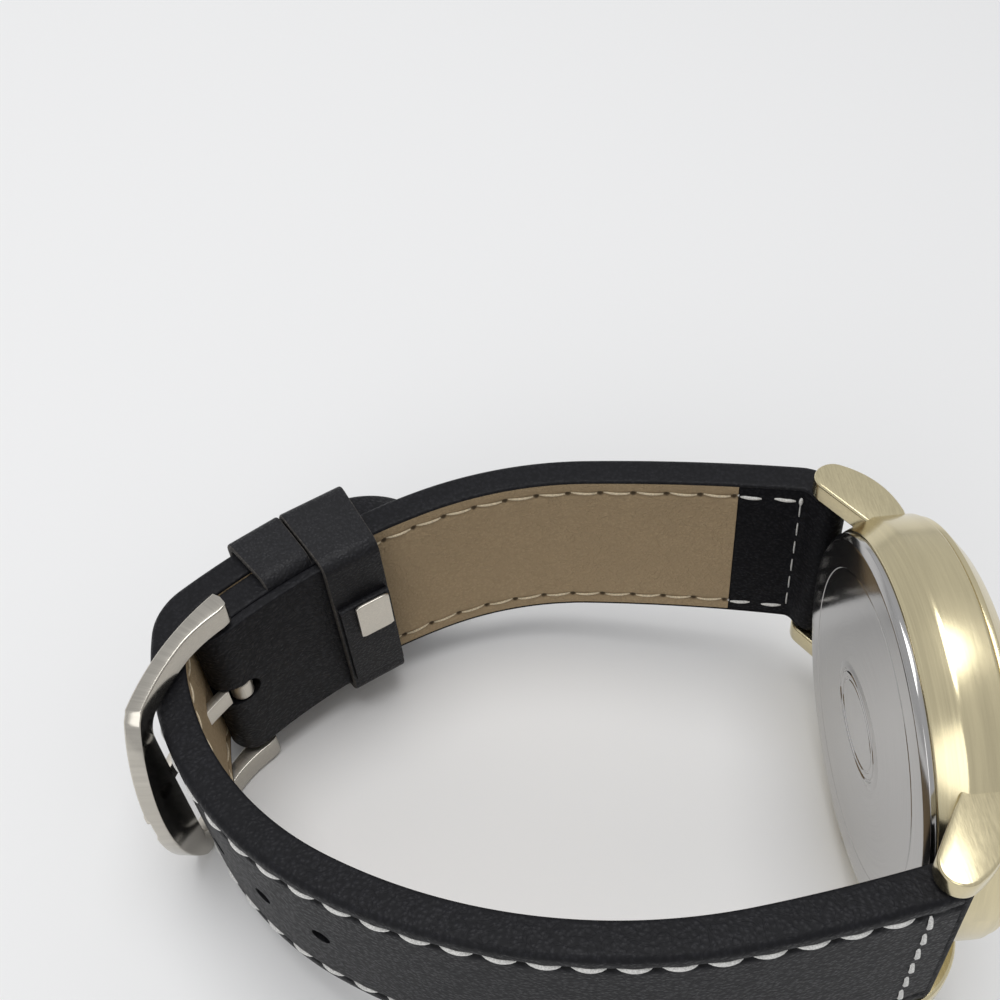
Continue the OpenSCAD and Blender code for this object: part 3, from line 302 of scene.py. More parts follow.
def long_arcs():
    """Arcs of the long strap, mirrored: two along the wrist, the bend, a closing one and the tail."""
    arcs = chain(polar(BAR, LEAD, LONG_START), LONG_START, LONG_RADII, LONG_TURNS)
    heading = LONG_START + sum(LONG_TURNS)
    bend_c = polar(polar(arcs[1][0], LONG_RADII[1], heading - 90), BEND_R, heading + 90)
    tail_c = np.array([WRIST_C[0], -WRIST_C[1]])
    tail_r = WRIST_R + STRAP_T + LAYER_GAP
    closing_c = crossing(tail_c, tail_r - CLOSING_R, bend_c, BEND_R - CLOSING_R)
    bend_to = direction(bend_c, closing_c)
    tail_from = direction(tail_c, closing_c)
    return [
        *arcs,
        (bend_c, BEND_R, heading - 90, bend_to),
        (closing_c, CLOSING_R, bend_to, tail_from),
        (tail_c, tail_r, tail_from, 360 - (FOLD_END - TAIL_PAST_FOLD)),
    ]


LONG = Run(LONG_START, long_arcs(), True)
FRAME_C = polar(BUCKLE_BAR, FRAME_R, FRAME_ANGLE + 180)
RIM_ANGLE = CORNER_ANGLE + math.degrees(BOW / FRAME_R)
BOW_R = (FRAME_HALF**2 + BOW**2) / (2 * BOW)
AIM = RIM_ANGLE - 12
TONGUE_LIFT = FRAME_T / 2 + TONGUE_T / 2 + 0.06
TONGUE_TURN = math.degrees(TONGUE_LIFT / np.hypot(*(polar(FRAME_C, FRAME_R, RIM_ANGLE - 7) - BUCKLE_BAR)))
TONGUE_C = polar(BUCKLE_BAR, FRAME_R, FRAME_ANGLE + 180 - TONGUE_TURN)
TONGUE_FROM = FRAME_ANGLE - TONGUE_TURN
TONGUE_TO = RIM_ANGLE - TONGUE_TURN - 0.2


def wrist_s(degrees):
    """Distance along the short strap of an angle about the wrist arc's centre."""
    return SHORT.length - WRIST_R * math.radians(BAR_ANGLE - degrees)


def tip_half(s, inset):
    """Half width of the tail at a distance: straight sides, then two arcs that meet in a round nose."""
    x = LONG.length - s
    side_r = ((TIP_LEN - NOSE_R) ** 2 + TIP_HALF_W**2 - NOSE_R**2) / (2 * (TIP_HALF_W - NOSE_R))
    up = np.clip(TIP_LEN - x, 0, TIP_LEN)
    side = TIP_HALF_W - side_r + np.sqrt(np.maximum((side_r - inset) ** 2 - up**2, 0))
    nose = np.sqrt(np.maximum((NOSE_R - inset) ** 2 - (NOSE_R - x) ** 2, 0))
    near_tip = x < NOSE_R * (1 - (TIP_LEN - NOSE_R) / (side_r - NOSE_R)) + inset
    return np.where(near_tip, nose, np.maximum(side, 0.02))


# Meshes
def world(points):
    """Places of the watch frame as places of the row frame in metres."""
    return ORIGIN + (points * MM) @ AXES


def head_frame(points):
    """Places of the head's own frame in the watch frame."""
    return grid(points[..., 2], points[..., 1], -points[..., 0])


def patch(points, uv=None, slot=0, capped=False):
    """One surface of a piece: a grid of places, its UVs, its material slot, and flat ends or not."""
    return points, np.zeros(points.shape[:2] + (2,)) if uv is None else uv, slot, capped


def solid(points, uv=None, slot=0):
    """A closed body: a grid of places whose rows are loops, with its two ends closed."""
    return patch(points, uv, slot, True)


def mesh_of(name, patches, finishes=(), sharp=40.0):
    """A mesh from patches, with doubled points joined, faces outwards and only sharp edges kept sharp.

    Faces (i, j) join rows i and i + 1 and columns j and j + 1."""
    verts, faces, uvs, slots = [], [], [], []
    base = 0
    for points, uv, slot, capped in patches:
        index = np.arange(points.shape[0] * points.shape[1]).reshape(points.shape[:2])
        quads = np.stack([index[:-1, :-1], index[:-1, 1:], index[1:, 1:], index[1:, :-1]], -1).reshape(-1, 4)
        polygons = [*quads, index[0, :-1], index[-1, :-1]] if capped else list(quads)
        faces.extend((base + polygon).tolist() for polygon in polygons)
        uvs.append(uv.reshape(-1, 2)[np.concatenate(polygons)])
        slots.extend([slot] * len(polygons))
        verts.append(world(points).reshape(-1, 3))
        base += index.size
    mesh = bpy.data.meshes.new(name)
    mesh.from_pydata(np.concatenate(verts), [], faces)
    mesh.uv_layers.new(name="run").data.foreach_set("uv", np.concatenate(uvs).astype(np.float32).ravel())
    mesh.polygons.foreach_set("material_index", np.array(slots, np.int32))
    build = bmesh.new()
    build.from_mesh(mesh)
    bmesh.ops.remove_doubles(build, verts=build.verts, dist=1e-8)
    bmesh.ops.dissolve_degenerate(build, dist=1e-9, edges=build.edges)
    bmesh.ops.recalc_face_normals(build, faces=build.faces)
    build.to_mesh(mesh)
    build.free()
    for item in finishes:
        mesh.materials.append(FINISHES[item])
    mesh.shade_smooth()
    mesh.set_sharp_from_angle(angle=math.radians(sharp))
    return mesh


def carved(mesh, cutter):
    """The mesh with another closed mesh cut away."""
    body, tool = (bpy.data.objects.new("carving", item) for item in (mesh, cutter))
    for item in (body, tool):
        bpy.context.scene.collection.objects.link(item)
    modifier = body.modifiers.new("cut", "BOOLEAN")
    modifier.operation = "DIFFERENCE"
    modifier.solver = "EXACT"
    modifier.object = tool
    depsgraph = bpy.context.evaluated_depsgraph_get()
    result = bpy.data.meshes.new_from_object(body.evaluated_get(depsgraph))
    for item in (body, tool):
        bpy.data.objects.remove(item)
    result.set_sharp_from_angle(angle=math.radians(35))
    return result


def add_piece(name, patches, finishes, node=None, body="watch", sharp=40.0, cutters=()):
    """A piece with shapes cut away, which rides on a body and stands for a CAD node and a material."""
    mesh = mesh_of(name, patches, finishes, sharp)
    for cutter in cutters:
        mesh = carved(mesh, cutter)
    piece = bpy.data.objects.new(name, mesh)
    bpy.context.scene.collection.objects.link(piece)
    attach(piece, body)
    if node:
        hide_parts(node)
    return piece


def closed(values):
    """A loop with its first point repeated at the end, along the last axis."""
    return np.concatenate([values, values[..., :1]], -1)


def mirrored(z, d):
    """Whole outlines from halves that start and end in the middle: (z, d) on, then (-z, d) back."""
    return closed(np.concatenate([z, -z[:, -2:0:-1]], 1)), closed(np.concatenate([d, d[:, -2:0:-1]], 1))


def rounded_loop(half_a, half_b, radius, steps):
    """Rounded rectangle as two arrays: corner centre plus radius times (cos, sin), four corners in turn."""
    half_a, half_b = np.asarray(half_a, float)[..., None], np.asarray(half_b, float)[..., None]
    turn = np.linspace(0, math.pi / 2, steps)
    angle = np.concatenate([turn + k * math.pi / 2 for k in range(4)])
    a = np.repeat([1, -1, -1, 1], steps) * (half_a - radius) + radius * np.cos(angle)
    b = np.repeat([1, 1, -1, -1], steps) * (half_b - radius) + radius * np.sin(angle)
    return closed(a), closed(b)


def lathe(profile, steps=160):
    """A profile of (radius, height) turned about the head's axis: (r cos t, r sin t, h)."""
    turn = np.linspace(0, 2 * math.pi, steps + 1)
    r, h = np.asarray(profile, float).T[:, :, None]
    points = head_frame(grid(r * np.cos(turn), r * np.sin(turn), h))
    return patch(points, grid(turn / (2 * math.pi), r / 100))


def rounded_profile(corners, radii, steps):
    """A closed profile whose corners become arcs that touch both sides.

    An arc's centre is p + m r / sin(h): m is the direction midway between the sides, h half their angle."""
    corners = np.asarray(corners, float)
    out = []
    for i, radius in enumerate(np.broadcast_to(radii, len(corners))):
        p, a, b = corners[i], corners[i - 1], corners[(i + 1) % len(corners)]
        u, v = (a - p) / np.hypot(*(a - p)), (b - p) / np.hypot(*(b - p))
        half = math.acos(max(-1, min(1, float(u @ v)))) / 2
        if radius <= 0 or half > math.pi / 2 - 0.02:
            out.append(p[None])
            continue
        reach = radius / math.tan(half)
        centre = p + (u + v) / np.hypot(*(u + v)) * radius / math.sin(half)
        start, end = p + u * reach - centre, p + v * reach - centre
        first = math.atan2(start[1], start[0])
        sweep = (math.atan2(end[1], end[0]) - first + math.pi) % (2 * math.pi) - math.pi
        turn = first + sweep * np.linspace(0, 1, steps)
        out.append(centre + radius * grid(np.cos(turn), np.sin(turn)))
    out = np.concatenate(out)
    return np.concatenate([out, out[:1]])


def slab(outline, low, high, round_r, steps):
    """A plate of any outline with rounded edges: rings pulled in by r (1 - cos) at heights r sin."""
    outline = np.asarray(outline, float)
    ahead = np.roll(outline, -1, 0)
    along = ahead - np.roll(outline, 1, 0)
    normal = grid(along[:, 1], -along[:, 0]) / np.maximum(np.hypot(*along.T), 1e-9)[:, None]
    area = np.sum(outline[:, 0] * ahead[:, 1] - ahead[:, 0] * outline[:, 1])
    normal *= 1 if area > 0 else -1
    turn = np.linspace(0, math.pi / 2, steps)
    pull = np.concatenate([round_r * (1 - np.sin(turn)), round_r * (1 - np.cos(turn))])
    height = np.concatenate([low + round_r * (1 - np.cos(turn)), high - round_r * (1 - np.sin(turn))])
    ring = outline[None] - normal[None] * pull[:, None, None]
    points = grid(ring[..., 0], ring[..., 1], height[:, None])
    return np.concatenate([points, points[:, :1]], 1)


def spun(points, degrees):
    """Places of the head's frame turned clockwise about its axis."""
    a = math.radians(-degrees)
    flat = points[..., :2] @ np.array([[math.cos(a), math.sin(a)], [-math.sin(a), math.cos(a)]])
    return np.concatenate([flat, points[..., 2:]], -1)


# Node trees
class Value:
    """A result in a node tree. Arithmetic on it adds math nodes."""

    def __init__(self, tree, socket):
        self.tree = tree
        self.socket = socket

    def math(self, operation, *others):
        """The result of a math node whose first input is this value."""
        return math_of(self.tree, operation, self, *others)

    def fit(self, low, high, to_low=0.0, to_high=1.0):
        """The value mapped smoothly from one range to another."""
        inputs = dict(enumerate((self, low, high, to_low, to_high)))
        return value_of(self.tree, "ShaderNodeMapRange", inputs, interpolation_type="SMOOTHSTEP")

    def __add__(self, other):
        return self.math("ADD", other)

    def __sub__(self, other):
        return self.math("SUBTRACT", other)

    def __mul__(self, other):
        return self.math("MULTIPLY", other)

    def __truediv__(self, other):
        return self.math("DIVIDE", other)


def put(tree, socket, value):
    """Links a result into an input, or sets the input's own value. A colour may have three parts."""
    value = getattr(value, "socket", value)
    if isinstance(value, bpy.types.NodeSocket):
        tree.links.new(value, socket)
    elif np.ndim(value) and len(socket.default_value) > len(value):
        socket.default_value = (*value, 1)
    else:
        socket.default_value = value


def add_node(tree, kind, inputs=None, **settings):
    """A node with its settings, and values or links put into its inputs."""
    made = tree.nodes.new(kind)
    for key, value in settings.items():
        setattr(made, key, value)
    for key, value in (inputs or {}).items():
        put(tree, made.inputs[key], value)
    return made


def value_of(tree, kind, inputs=None, output=0, **settings):
    """One result of a new node."""
    return Value(tree, add_node(tree, kind, inputs, **settings).outputs[output])


def math_of(tree, operation, *values):
    """The result of a math node."""
    return value_of(tree, "ShaderNodeMath", dict(enumerate(values)), operation=operation)


def noise(tree, place, scale, detail, **more):
    """Cloudy noise from 0 to 1 at a place."""
    return value_of(tree, "ShaderNodeTexNoise", {"Vector": place, "Scale": scale, "Detail": detail, **more})


def mix_colour(tree, factor, a, b, blend="MIX"):
    """A colour mixed from two."""
    return value_of(tree, "ShaderNodeMix", {0: factor, 6: a, 7: b}, 2, data_type="RGBA", blend_type=blend)


def split(tree, place):
    """The three parts of a place."""
    return [Value(tree, socket) for socket in add_node(tree, "ShaderNodeSeparateXYZ", {0: place}).outputs]


def joined(tree, *parts):
    """A place from its three parts."""
    return value_of(tree, "ShaderNodeCombineXYZ", dict(enumerate(parts)))


NUMBER, COLOUR, VECTOR = "NodeSocketFloat", "NodeSocketColor", "NodeSocketVector"


def new_group(name, inputs, outputs):
    """A shader group with sockets of (name, type, default) and (name, type), and its input values."""
    tree = bpy.data.node_groups.new(name, "ShaderNodeTree")
    for label, kind, default in inputs:
        socket = tree.interface.new_socket(name=label, in_out="INPUT", socket_type=kind)
        socket.default_value = default
    for label, kind in outputs:
        tree.interface.new_socket(name=label, in_out="OUTPUT", socket_type=kind)
    entry = tree.nodes.new("NodeGroupInput")
    return tree, [Value(tree, entry.outputs[label]) for label, _, _ in inputs]


def give(tree, *values):
    """Links values to the outputs of a group, in order."""
    out = tree.nodes.new("NodeGroupOutput")
    for index, value in enumerate(values):
        put(tree, out.inputs[index], value)


def group_values(tree, name, *inputs):
    """The results of a shader group for its inputs in order."""
    made = add_node(tree, "ShaderNodeGroup", dict(enumerate(inputs)), node_tree=bpy.data.node_groups[name])
    return [Value(tree, socket) for socket in made.outputs]


def watch_place(tree):
    """Place on the piece in the watch's own frame."""
    return group_values(tree, "watch_place")[0]


def watch_place_group():
    """Place on the piece in the watch's own frame, from Object coordinates."""
    tree, _ = new_group("watch_place", [], [("Place", VECTOR)])
    coords = value_of(tree, "ShaderNodeTexCoord", output="Object")
    moved = value_of(tree, "ShaderNodeVectorMath", {0: coords, 1: tuple(ORIGIN)}, operation="SUBTRACT")
    parts = [value_of(tree, "ShaderNodeVectorMath", {0: moved, 1: tuple(axis / MM)}, "Value",
                      operation="DOT_PRODUCT") for axis in AXES]
    give(tree, joined(tree, *parts))


def leather_group():
    """Leather: pebbles from cells, pores and soft creases, as a colour, a height and a roughness. The colour
    is lighter on the pebble tops, a painted highlight, and darker in the hollows between them, painted
    shade; its cloudy patches are the leather's own uneven tone.
    """
    tree, (colour, lit_pebble_colour, pebble_size, crease_depth, rough) = new_group(
        "leather_grain",
        [("Colour", COLOUR, (0.02, 0.02, 0.02, 1)), ("Light", COLOUR, (0.05, 0.05, 0.05, 1)),
         ("Pebble", NUMBER, 0.5), ("Crease", NUMBER, 0.4), ("Roughness", NUMBER, 0.45)],
        [("Colour", COLOUR), ("Height", NUMBER), ("Roughness", NUMBER)])
    place = watch_place(tree)
    wobble = value_of(tree, "ShaderNodeTexNoise", {"Vector": place, "Scale": 0.9, "Detail": 2.0}, "Color")
    bent = value_of(tree, "ShaderNodeVectorMath", {0: wobble, 1: (0.5, 0.5, 0.5)}, operation="MULTIPLY")
    moved = value_of(tree, "ShaderNodeVectorMath", {0: place, 1: bent}, operation="ADD")
    size = math_of(tree, "DIVIDE", 1.0, pebble_size)
    cells = value_of(tree, "ShaderNodeTexVoronoi", {"Vector": moved, "Scale": size, "Smoothness": 0.35},
                     "Distance", feature="SMOOTH_F1")
    pebble = cells.fit(0.0, 0.75, 1.0, 0.0)
    creases = noise(tree, place, 0.55, 4.0, Distortion=1.2)
    crease = (creases - 0.5).math("ABSOLUTE").fit(0.0, 0.06, 1.0, 0.0)
    pores = noise(tree, place, 9.0, 3.0)
    patchy = noise(tree, place, 0.16, 3.0).fit(0.3, 0.7, 0.35, 1.0)
    worn = math_of(tree, "SUBTRACT", 0.6, pebble)
    # Painted light: pebble tops take the lighter colour as a painted highlight, and the hollows between
    # pebbles take the darker one as painted shade.
    give(tree, mix_colour(tree, pebble * patchy, colour, lit_pebble_colour),
         pebble + pores * 0.5 - crease * crease_depth, rough + worn * 0.18)


def needle_group():
    """Masks of the needle holes and of their row, from the distances along and from the edge."""
    tree, _ = new_group("needle_marks", [], [("Hole", NUMBER), ("Line", NUMBER)])
    along, edge, _ = split(tree, value_of(tree, "ShaderNodeUVMap", uv_map="run"))
    steps = along * 100.0 / PITCH
    ds = (steps - steps.math("ROUND")) * PITCH
    de = edge * 100.0 - ROW
    far = (ds * ds + de * de).math("SQRT")
    give(tree, far.fit(0.35 * NEEDLE_R, NEEDLE_R, 1.0, 0.0), de.math("ABSOLUTE").fit(0.1, 0.55, 1.0, 0.0))


def brushed_group():
    """Fine scratches along one direction of a stretched place, as a height, a roughness and a shade."""
    tree, (place, rough, spread) = new_group(
        "brushed",
        [("Place", VECTOR, (0, 0, 0)), ("Roughness", NUMBER, 0.25), ("Spread", NUMBER, 0.15)],
        [("Height", NUMBER), ("Roughness", NUMBER), ("Shade", NUMBER)])
    lines = noise(tree, place, 1.0, 5.0, Roughness=0.7)
    smudge = noise(tree, watch_place(tree), 0.5, 4.0)
    give(tree, lines, rough + (lines - 0.4) * spread + smudge * 0.06, lines.fit(0.3, 0.7, 0.85, 1.0))


FINISHES = {}


def new_material(name, **values):
    """A Principled material, kept by name, with plain values for its inputs, as (tree, shader)."""
    FINISHES[name] = bpy.data.materials.new(name + "_finish")
    FINISHES[name].use_nodes = True
    tree = FINISHES[name].node_tree
    shader = tree.nodes["Principled BSDF"]
    for key, value in values.items():
        put(tree, shader.inputs[key.replace("_", " ")], value)
    return tree, shader


def wire(tree, shader, tone, rough, height, depth):
    """Gives a shader its colour and roughness, and a relief in metres from a height of about 0 to 1."""
    relief = value_of(tree, "ShaderNodeBump", {"Height": height, "Distance": depth, "Strength": 1.0})
    for key, value in (("Base Color", tone), ("Roughness", rough), ("Normal", relief)):
        put(tree, shader.inputs[key], value)


def scaled(factor, colour):
    """A colour times a number."""
    return tuple(factor * v for v in colour)


def leather_material(name, colour, lit_pebble_colour, pebble, crease, rough, depth, gloss, hole_shade_colour=None):
    """Grained leather; stitched leather sinks round its needle holes, with painted shade in each hole and a
    fainter painted shade along their row.
    """
    tree, shader = new_material(name, Specular_IOR_Level=gloss)
    tone, height, rough = group_values(tree, "leather_grain", colour, lit_pebble_colour, pebble, crease, rough)
    if hole_shade_colour:
        hole, line = group_values(tree, "needle_marks")
        # Painted shade: a dark colour in each needle hole, and a fainter band of it along the stitch row.
        tone = mix_colour(tree, hole * 0.85, tone, hole_shade_colour)
        tone = mix_colour(tree, line * 0.25, tone, hole_shade_colour)
        height = height - hole * 3.0
    wire(tree, shader, tone, rough, height, depth)


def scratched(tree, shader, colour, place, rough, spread, depth):
    """Gives a metal the scratches of a stretched place, in its colour, roughness and relief."""
    height, rough, shade = group_values(tree, "brushed", place, rough, spread)
    wire(tree, shader, mix_colour(tree, 1.0, colour, shade, "MULTIPLY"), rough, height, depth)


def metal_material(name, colour, rough, stretch, spread, depth, along_run=False):
    """Metal with scratches along one direction, given as scratches per millimetre on each axis."""
    tree, shader = new_material(name, Metallic=1.0)
    if along_run:
        source = value_of(tree, "ShaderNodeUVMap", uv_map="run")
        stretch = scaled(100.0, stretch)
    else:
        source = watch_place(tree)
    place = value_of(tree, "ShaderNodeMapping", {"Vector": source, "Scale": stretch})
    scratched(tree, shader, colour, place, rough, spread, depth)


def turned_material(name, colour, rough, per_mm, depth, spread=0.1):
    """Polished metal with fine rings about the head's axis: scratches that depend on the radius."""
    tree, shader = new_material(name, Metallic=1.0)
    x, y, z = split(tree, watch_place(tree))
    radius = (y * y + z * z).math("SQRT")
    place = joined(tree, radius * per_mm, z.math("ARCTAN2", y), x)
    scratched(tree, shader, colour, place, rough, spread, depth)


def thread_material(name, colour):
    """Twisted thread with fine fibres."""
    tree, shader = new_material(name, Sheen_Weight=0.2, Specular_IOR_Level=0.3)
    fibres = noise(tree, watch_place(tree), 6.0, 3.0)
    tone = mix_colour(tree, fibres.fit(0.35, 0.65), scaled(0.72, colour), colour)
    wire(tree, shader, tone, fibres.fit(0.2, 0.8, 0.75, 0.95), fibres, 0.00006)


def speckled_material(name, colour, rough, scale=4.0, depth=0.00001, **values):
    """Plain moulded or plated finish with a slight cloud in its colour and roughness."""
    tree, shader = new_material(name, **values)
    cloud = noise(tree, watch_place(tree), scale, 4.0)
    tone = mix_colour(tree, cloud, scaled(0.8, colour), colour)
    wire(tree, shader, tone, cloud.fit(0.2, 0.8, rough * 0.85, min(1.0, rough * 1.2)), cloud, depth)


def dial_material(name, colour):
    """Sunburst dial: brushing that fans out from the axis, from the angle about it."""
    tree, shader = new_material(name, Metallic=0.6, Coat_Weight=0.5)
    _, y, z = split(tree, watch_place(tree))
    turn = z.math("ARCTAN2", y)
    rays = noise(tree, joined(tree, turn.math("COSINE") * 60.0, turn.math("SINE") * 60.0, 0.0), 1.0, 3.0)
    tone = mix_colour(tree, rays.fit(0.3, 0.7), colour, scaled(2.6, colour))
    wire(tree, shader, tone, rays.fit(0.3, 0.7, 0.28, 0.42), rays, 0.000004)


# Strap
MIDDLE_STEPS = np.array([1.0, 0.8, 0.6, 0.45, 0.36])
OUTER_STEPS = np.array([3.2, 2.8, 2.45, 2.2, 2.05, 1.9, 1.75, 1.6, 1.3, 0.95])
LINING_STEPS = np.array([3.0, 2.6, 2.3, 2.1, 1.9, 1.7, 1.5, 1.2, 0.8, 0.5]) - LINING_INSET


def face(s, w, steps, inset, deep, wave, spread):
    """Places across half a face, and how far it dips: (deep + wave cos(2 pi s / PITCH)) exp(-x^2).

    x is the distance from the stitch row over the spread, so that the dip is deepest at each hole. The
    steps are distances from the edge. They shrink, and the dip fades, where the strap is narrow."""
    z = np.concatenate([w * (1 - MIDDLE_STEPS), w - steps * np.minimum(w / 5, 1)], 1)
    dip = (deep + wave * np.cos(2 * math.pi * s / PITCH))[:, None] * np.clip(w / 3 - 1.4, 0, 1)
    off = (w + inset - z - ROW) / spread
    return z, dip * np.exp(-off * off)


def strap_section(s, w):
    """Half of a strap's outline from the middle of the outer face to the lining's seat, as (across, out).

    The face is flat, dips at the stitch row, turns over a round edge, and the edge swells."""
    flat_z, dip = face(s, w, OUTER_STEPS, 0.0, 0.20, 0.09, 0.3)
    flat_d = HALF_T + 0.03 - dip - 0.05 * (flat_z / w) ** 4
    r = np.minimum(0.72, 0.6 * w)
    top = flat_d[:, -1:]
    turn = np.linspace(0.12, 1, 6) * math.pi / 2
    corner_z, corner_d = w - r + r * np.sin(turn), top - r + r * np.cos(turn)
    side = np.linspace(0.15, 0.9, 5)
    low = -HALF_T + 0.3
    side_d = (top - r) * (1 - side) + low * side
    side_z = w + 0.03 * np.sin(math.pi * side) + 0 * side_d
    turn = np.linspace(0, 1, 4) * math.pi / 2
    lip_z = w - np.minimum(0.28, 0.5 * w) * (1 - np.cos(turn))
    lip_d = low - 0.3 * np.sin(turn) + 0 * lip_z
    return (np.concatenate([flat_z, corner_z, side_z, lip_z], 1),
            np.concatenate([flat_d, corner_d, side_d, lip_d], 1))


def sweep(run, s, z, d, w):
    """Outlines along a strap as a closed body, with UVs of the distances along and from its edge."""
    return solid(run.points(s[:, None], d, z), grid(s[:, None] / 100, (w - np.abs(z)) / 100))


def leather_shell(run, s, w, core_half):
    """The outer leather as a channel: the strap's outline, the lining's seat and the padding's hollow."""
    w = w[:, None]
    z, d = strap_section(s, w)
    wall = np.maximum(w - LINING_INSET, 0.3 * w)
    hollow = np.minimum(core_half[:, None], 0.9 * wall)
    steps = np.array([-HALF_T + SEAT, LINING_TOP, LINING_TOP, CORE_TOP, CORE_TOP])
    z, d = mirrored(np.concatenate([z, wall, wall, hollow, hollow, 0 * w], 1),
                    np.concatenate([d, steps + 0 * w], 1))
    return sweep(run, s, z, d, w)


def padding_layer(run, s, w):
    """The padding: a flat layer between the lining and the outer leather, with rounded edges."""
    low, high = LINING_TOP, CORE_TOP - SEAT
    z, d = rounded_loop(w, np.full(len(s), (high - low) / 2), 0.3, 4)
    return sweep(run, s, z, d + (high + low) / 2, w[:, None] + LINING_INSET)


def lining_layer(run, s, w):
    """The lining: a thin layer whose inner face dips at the stitch row and puckers at each needle hole."""
    w = w[:, None]
    low, high = -HALF_T, LINING_TOP - SEAT
    z, dip = face(s, w, LINING_STEPS, LINING_INSET, 0.14, 0.10, 0.38)
    turn = np.linspace(0, 1, 4) * math.pi / 2
    z, d = mirrored(
        np.concatenate([z, w - 0.14 * (1 - np.sin(turn)), w, 0 * w], 1),
        np.concatenate([low + dip, low + 0.14 * (1 - np.cos(turn)) + 0 * w, high + 0 * w, high + 0 * w], 1))
    return sweep(run, s, z, d, w + LINING_INSET)


def stitch(radius, side):
    """Steps along one stitch, its rise by sin from below the leather, its thickness, and turns round it."""
    t = np.linspace(0, 1, 8)[:, None]
    rise = side * (np.sin(math.pi * t) ** 0.7 * radius * 1.5 - radius * 1.1)
    thick = radius * (0.55 + 0.45 * np.sin(math.pi * np.clip(t, 0.02, 0.98)) ** 0.5)
    return t, rise, thick, np.linspace(0, 2 * math.pi, 7)


def stitches(run, s0, s1, d, side, radius):
    """The two rows of thread along a strap, from hole to hole."""
    t, rise, thick, q = stitch(radius, side)
    out = []
    for row in (-1, 1):
        for k in range(math.ceil((s0 - 0.2) / PITCH), math.floor((s1 + 0.2) / PITCH)):
            s = (k + 0.10 + 0.80 * t) * PITCH
            z = row * (run.half_width(s) - ROW) + row * 0.1 * (2 * t - 1)
            out.append(solid(run.points(s, d + rise + thick * np.sin(q), z + thick * 1.1 * np.cos(q))))
    return out


def cross_stitches(run, s, d, side, radius):
    """A row of stitches across the strap, at one distance along it."""
    t, rise, thick, q = stitch(radius, side)
    z0 = -LUG_HALF_W + ROW
    count = round(-2 * z0 / 3.0)
    step = -2 * z0 / count
    return [solid(run.points(s + 0.06 * (2 * t - 1) + thick * np.cos(q), d + rise + thick * np.sin(q),
                             z0 + (k + 0.08 + 0.84 * t) * step)) for k in range(count)]


def knot(run, s, z, d):
    """A flattened ball of thread: sizes times (sin u cos v, cos u, sin u sin v) along, out and across."""
    half, high = 0.55, 0.26
    u = np.linspace(0.02, math.pi - 0.02, 12)[:, None]
    v = np.linspace(0, 2 * math.pi, 21)
    return solid(run.points(s + half * np.sin(u) * np.cos(v), d + high * np.cos(u),
                            z + half * np.sin(u) * np.sin(v)))


def tube(start, end, radius, steps=28):
    """A closed straight tube between two points: start and end plus radius times two square directions."""
    start, end = np.asarray(start, float), np.asarray(end, float)
    axis = (end - start) / np.linalg.norm(end - start)
    side = np.cross(axis, [0, 0, 1.0] if abs(axis[2]) < 0.9 else [1.0, 0, 0])
    side /= np.linalg.norm(side)
    turn = np.linspace(0, 2 * math.pi, steps + 1)[:, None]
    ring = radius * (np.cos(turn) * side + np.sin(turn) * np.cross(axis, side))
    return solid(np.stack([start + ring, end + ring]))


def hole_cutter():
    """Punches for the long strap: round holes square to it, and the long hole that the tongue fills."""
    patches = []
    for step in HOLE_STEPS:
        ends = LONG.points(USED_HOLE + step * HOLE_PITCH, np.array([-4.0, 4.0]), 0.0)
        patches.append(tube(*ends, PUNCH_R))
    low, high = -TONGUE_T / 2 - 0.3, TONGUE_T / 2 + 1.1
    a = np.radians(np.linspace(TONGUE_FROM + 4, TONGUE_TO - 6, 24))[:, None]
    r = FRAME_R + np.array([low, high, high, low, low])
    patches.append(solid(around(TONGUE_C, r, a, SLOT_HALF * np.array([-1, -1, 1, 1, -1]))))
    return mesh_of("punches", patches)


def slot_cutter():
    """Cutter of the tongue's slot in the fold: a box along the strap with a round end."""
    out = polar((0, 0), 1, BAR_ANGLE)
    ahead = np.array([-out[1], out[0]])
    turn = np.linspace(math.pi / 2, 1.5 * math.pi, 12)
    y = closed(np.concatenate([[4.2], -0.35 + SLOT_HALF * np.cos(turn), [4.2]]))
    z = closed(np.concatenate([[SLOT_HALF], SLOT_HALF * np.sin(turn), [-SLOT_HALF]]))
    x = np.array([-4.0, 1.9])[:, None, None]
    flat = BUCKLE_BAR + x * out + y[:, None] * ahead
    return mesh_of("slot", [solid(grid(flat[..., 0], flat[..., 1], z))])


def tail_half(s, inset=0.0):
    """Half width of the long strap anywhere, with its tip, pulled in by an inset."""
    tip = np.where(s > LONG.length - TIP_LEN, tip_half(s, inset), 99)
    return np.maximum(np.minimum(LONG.half_width(s) - inset, tip), 0.12)


def add_strap(name, leather, lining, padding, cutters, inner_cutters):
    """A strap's outer leather, lining and padding as three pieces."""
    for ending, layer, finish, node, slot, cuts in (
        ("_outer", leather, "outer_leather", "_leather", "black_leather", cutters),
        ("_lining_skin", lining, "lining_leather", "_lining", "lining_leather", inner_cutters),
        ("_padding", padding, "padding", "_core", "padding", inner_cutters),
    ):
        piece = add_piece(name + ending, [layer], (finish,), name + node, cutters=cuts)


def ribbon(finish, name, node, mid, out, half_w, half_t, radius, u, cutters=()):
    """A leather strip along a path, as a piece: places (mid + out d, z), with (z, d) on a rounded section.

    Its thickness directions are turned to follow on from row to row."""
    sign = np.ones(len(out))
    sign[1:] = np.cumprod(np.where(np.sum(out[1:] * out[:-1], -1) < 0, -1, 1))
    z, d = rounded_loop(half_w, half_t, radius, 5)
    flat = mid[:, None] + (out * sign[:, None])[:, None] * d[..., None]
    uv = grid(u[:, None] / 100, (half_w[:, None] - np.abs(z)) / 100)
    points = grid(flat[..., 0], flat[..., 1], z)
    add_piece(name, [solid(points, uv)], (finish,), node, cutters=cutters)


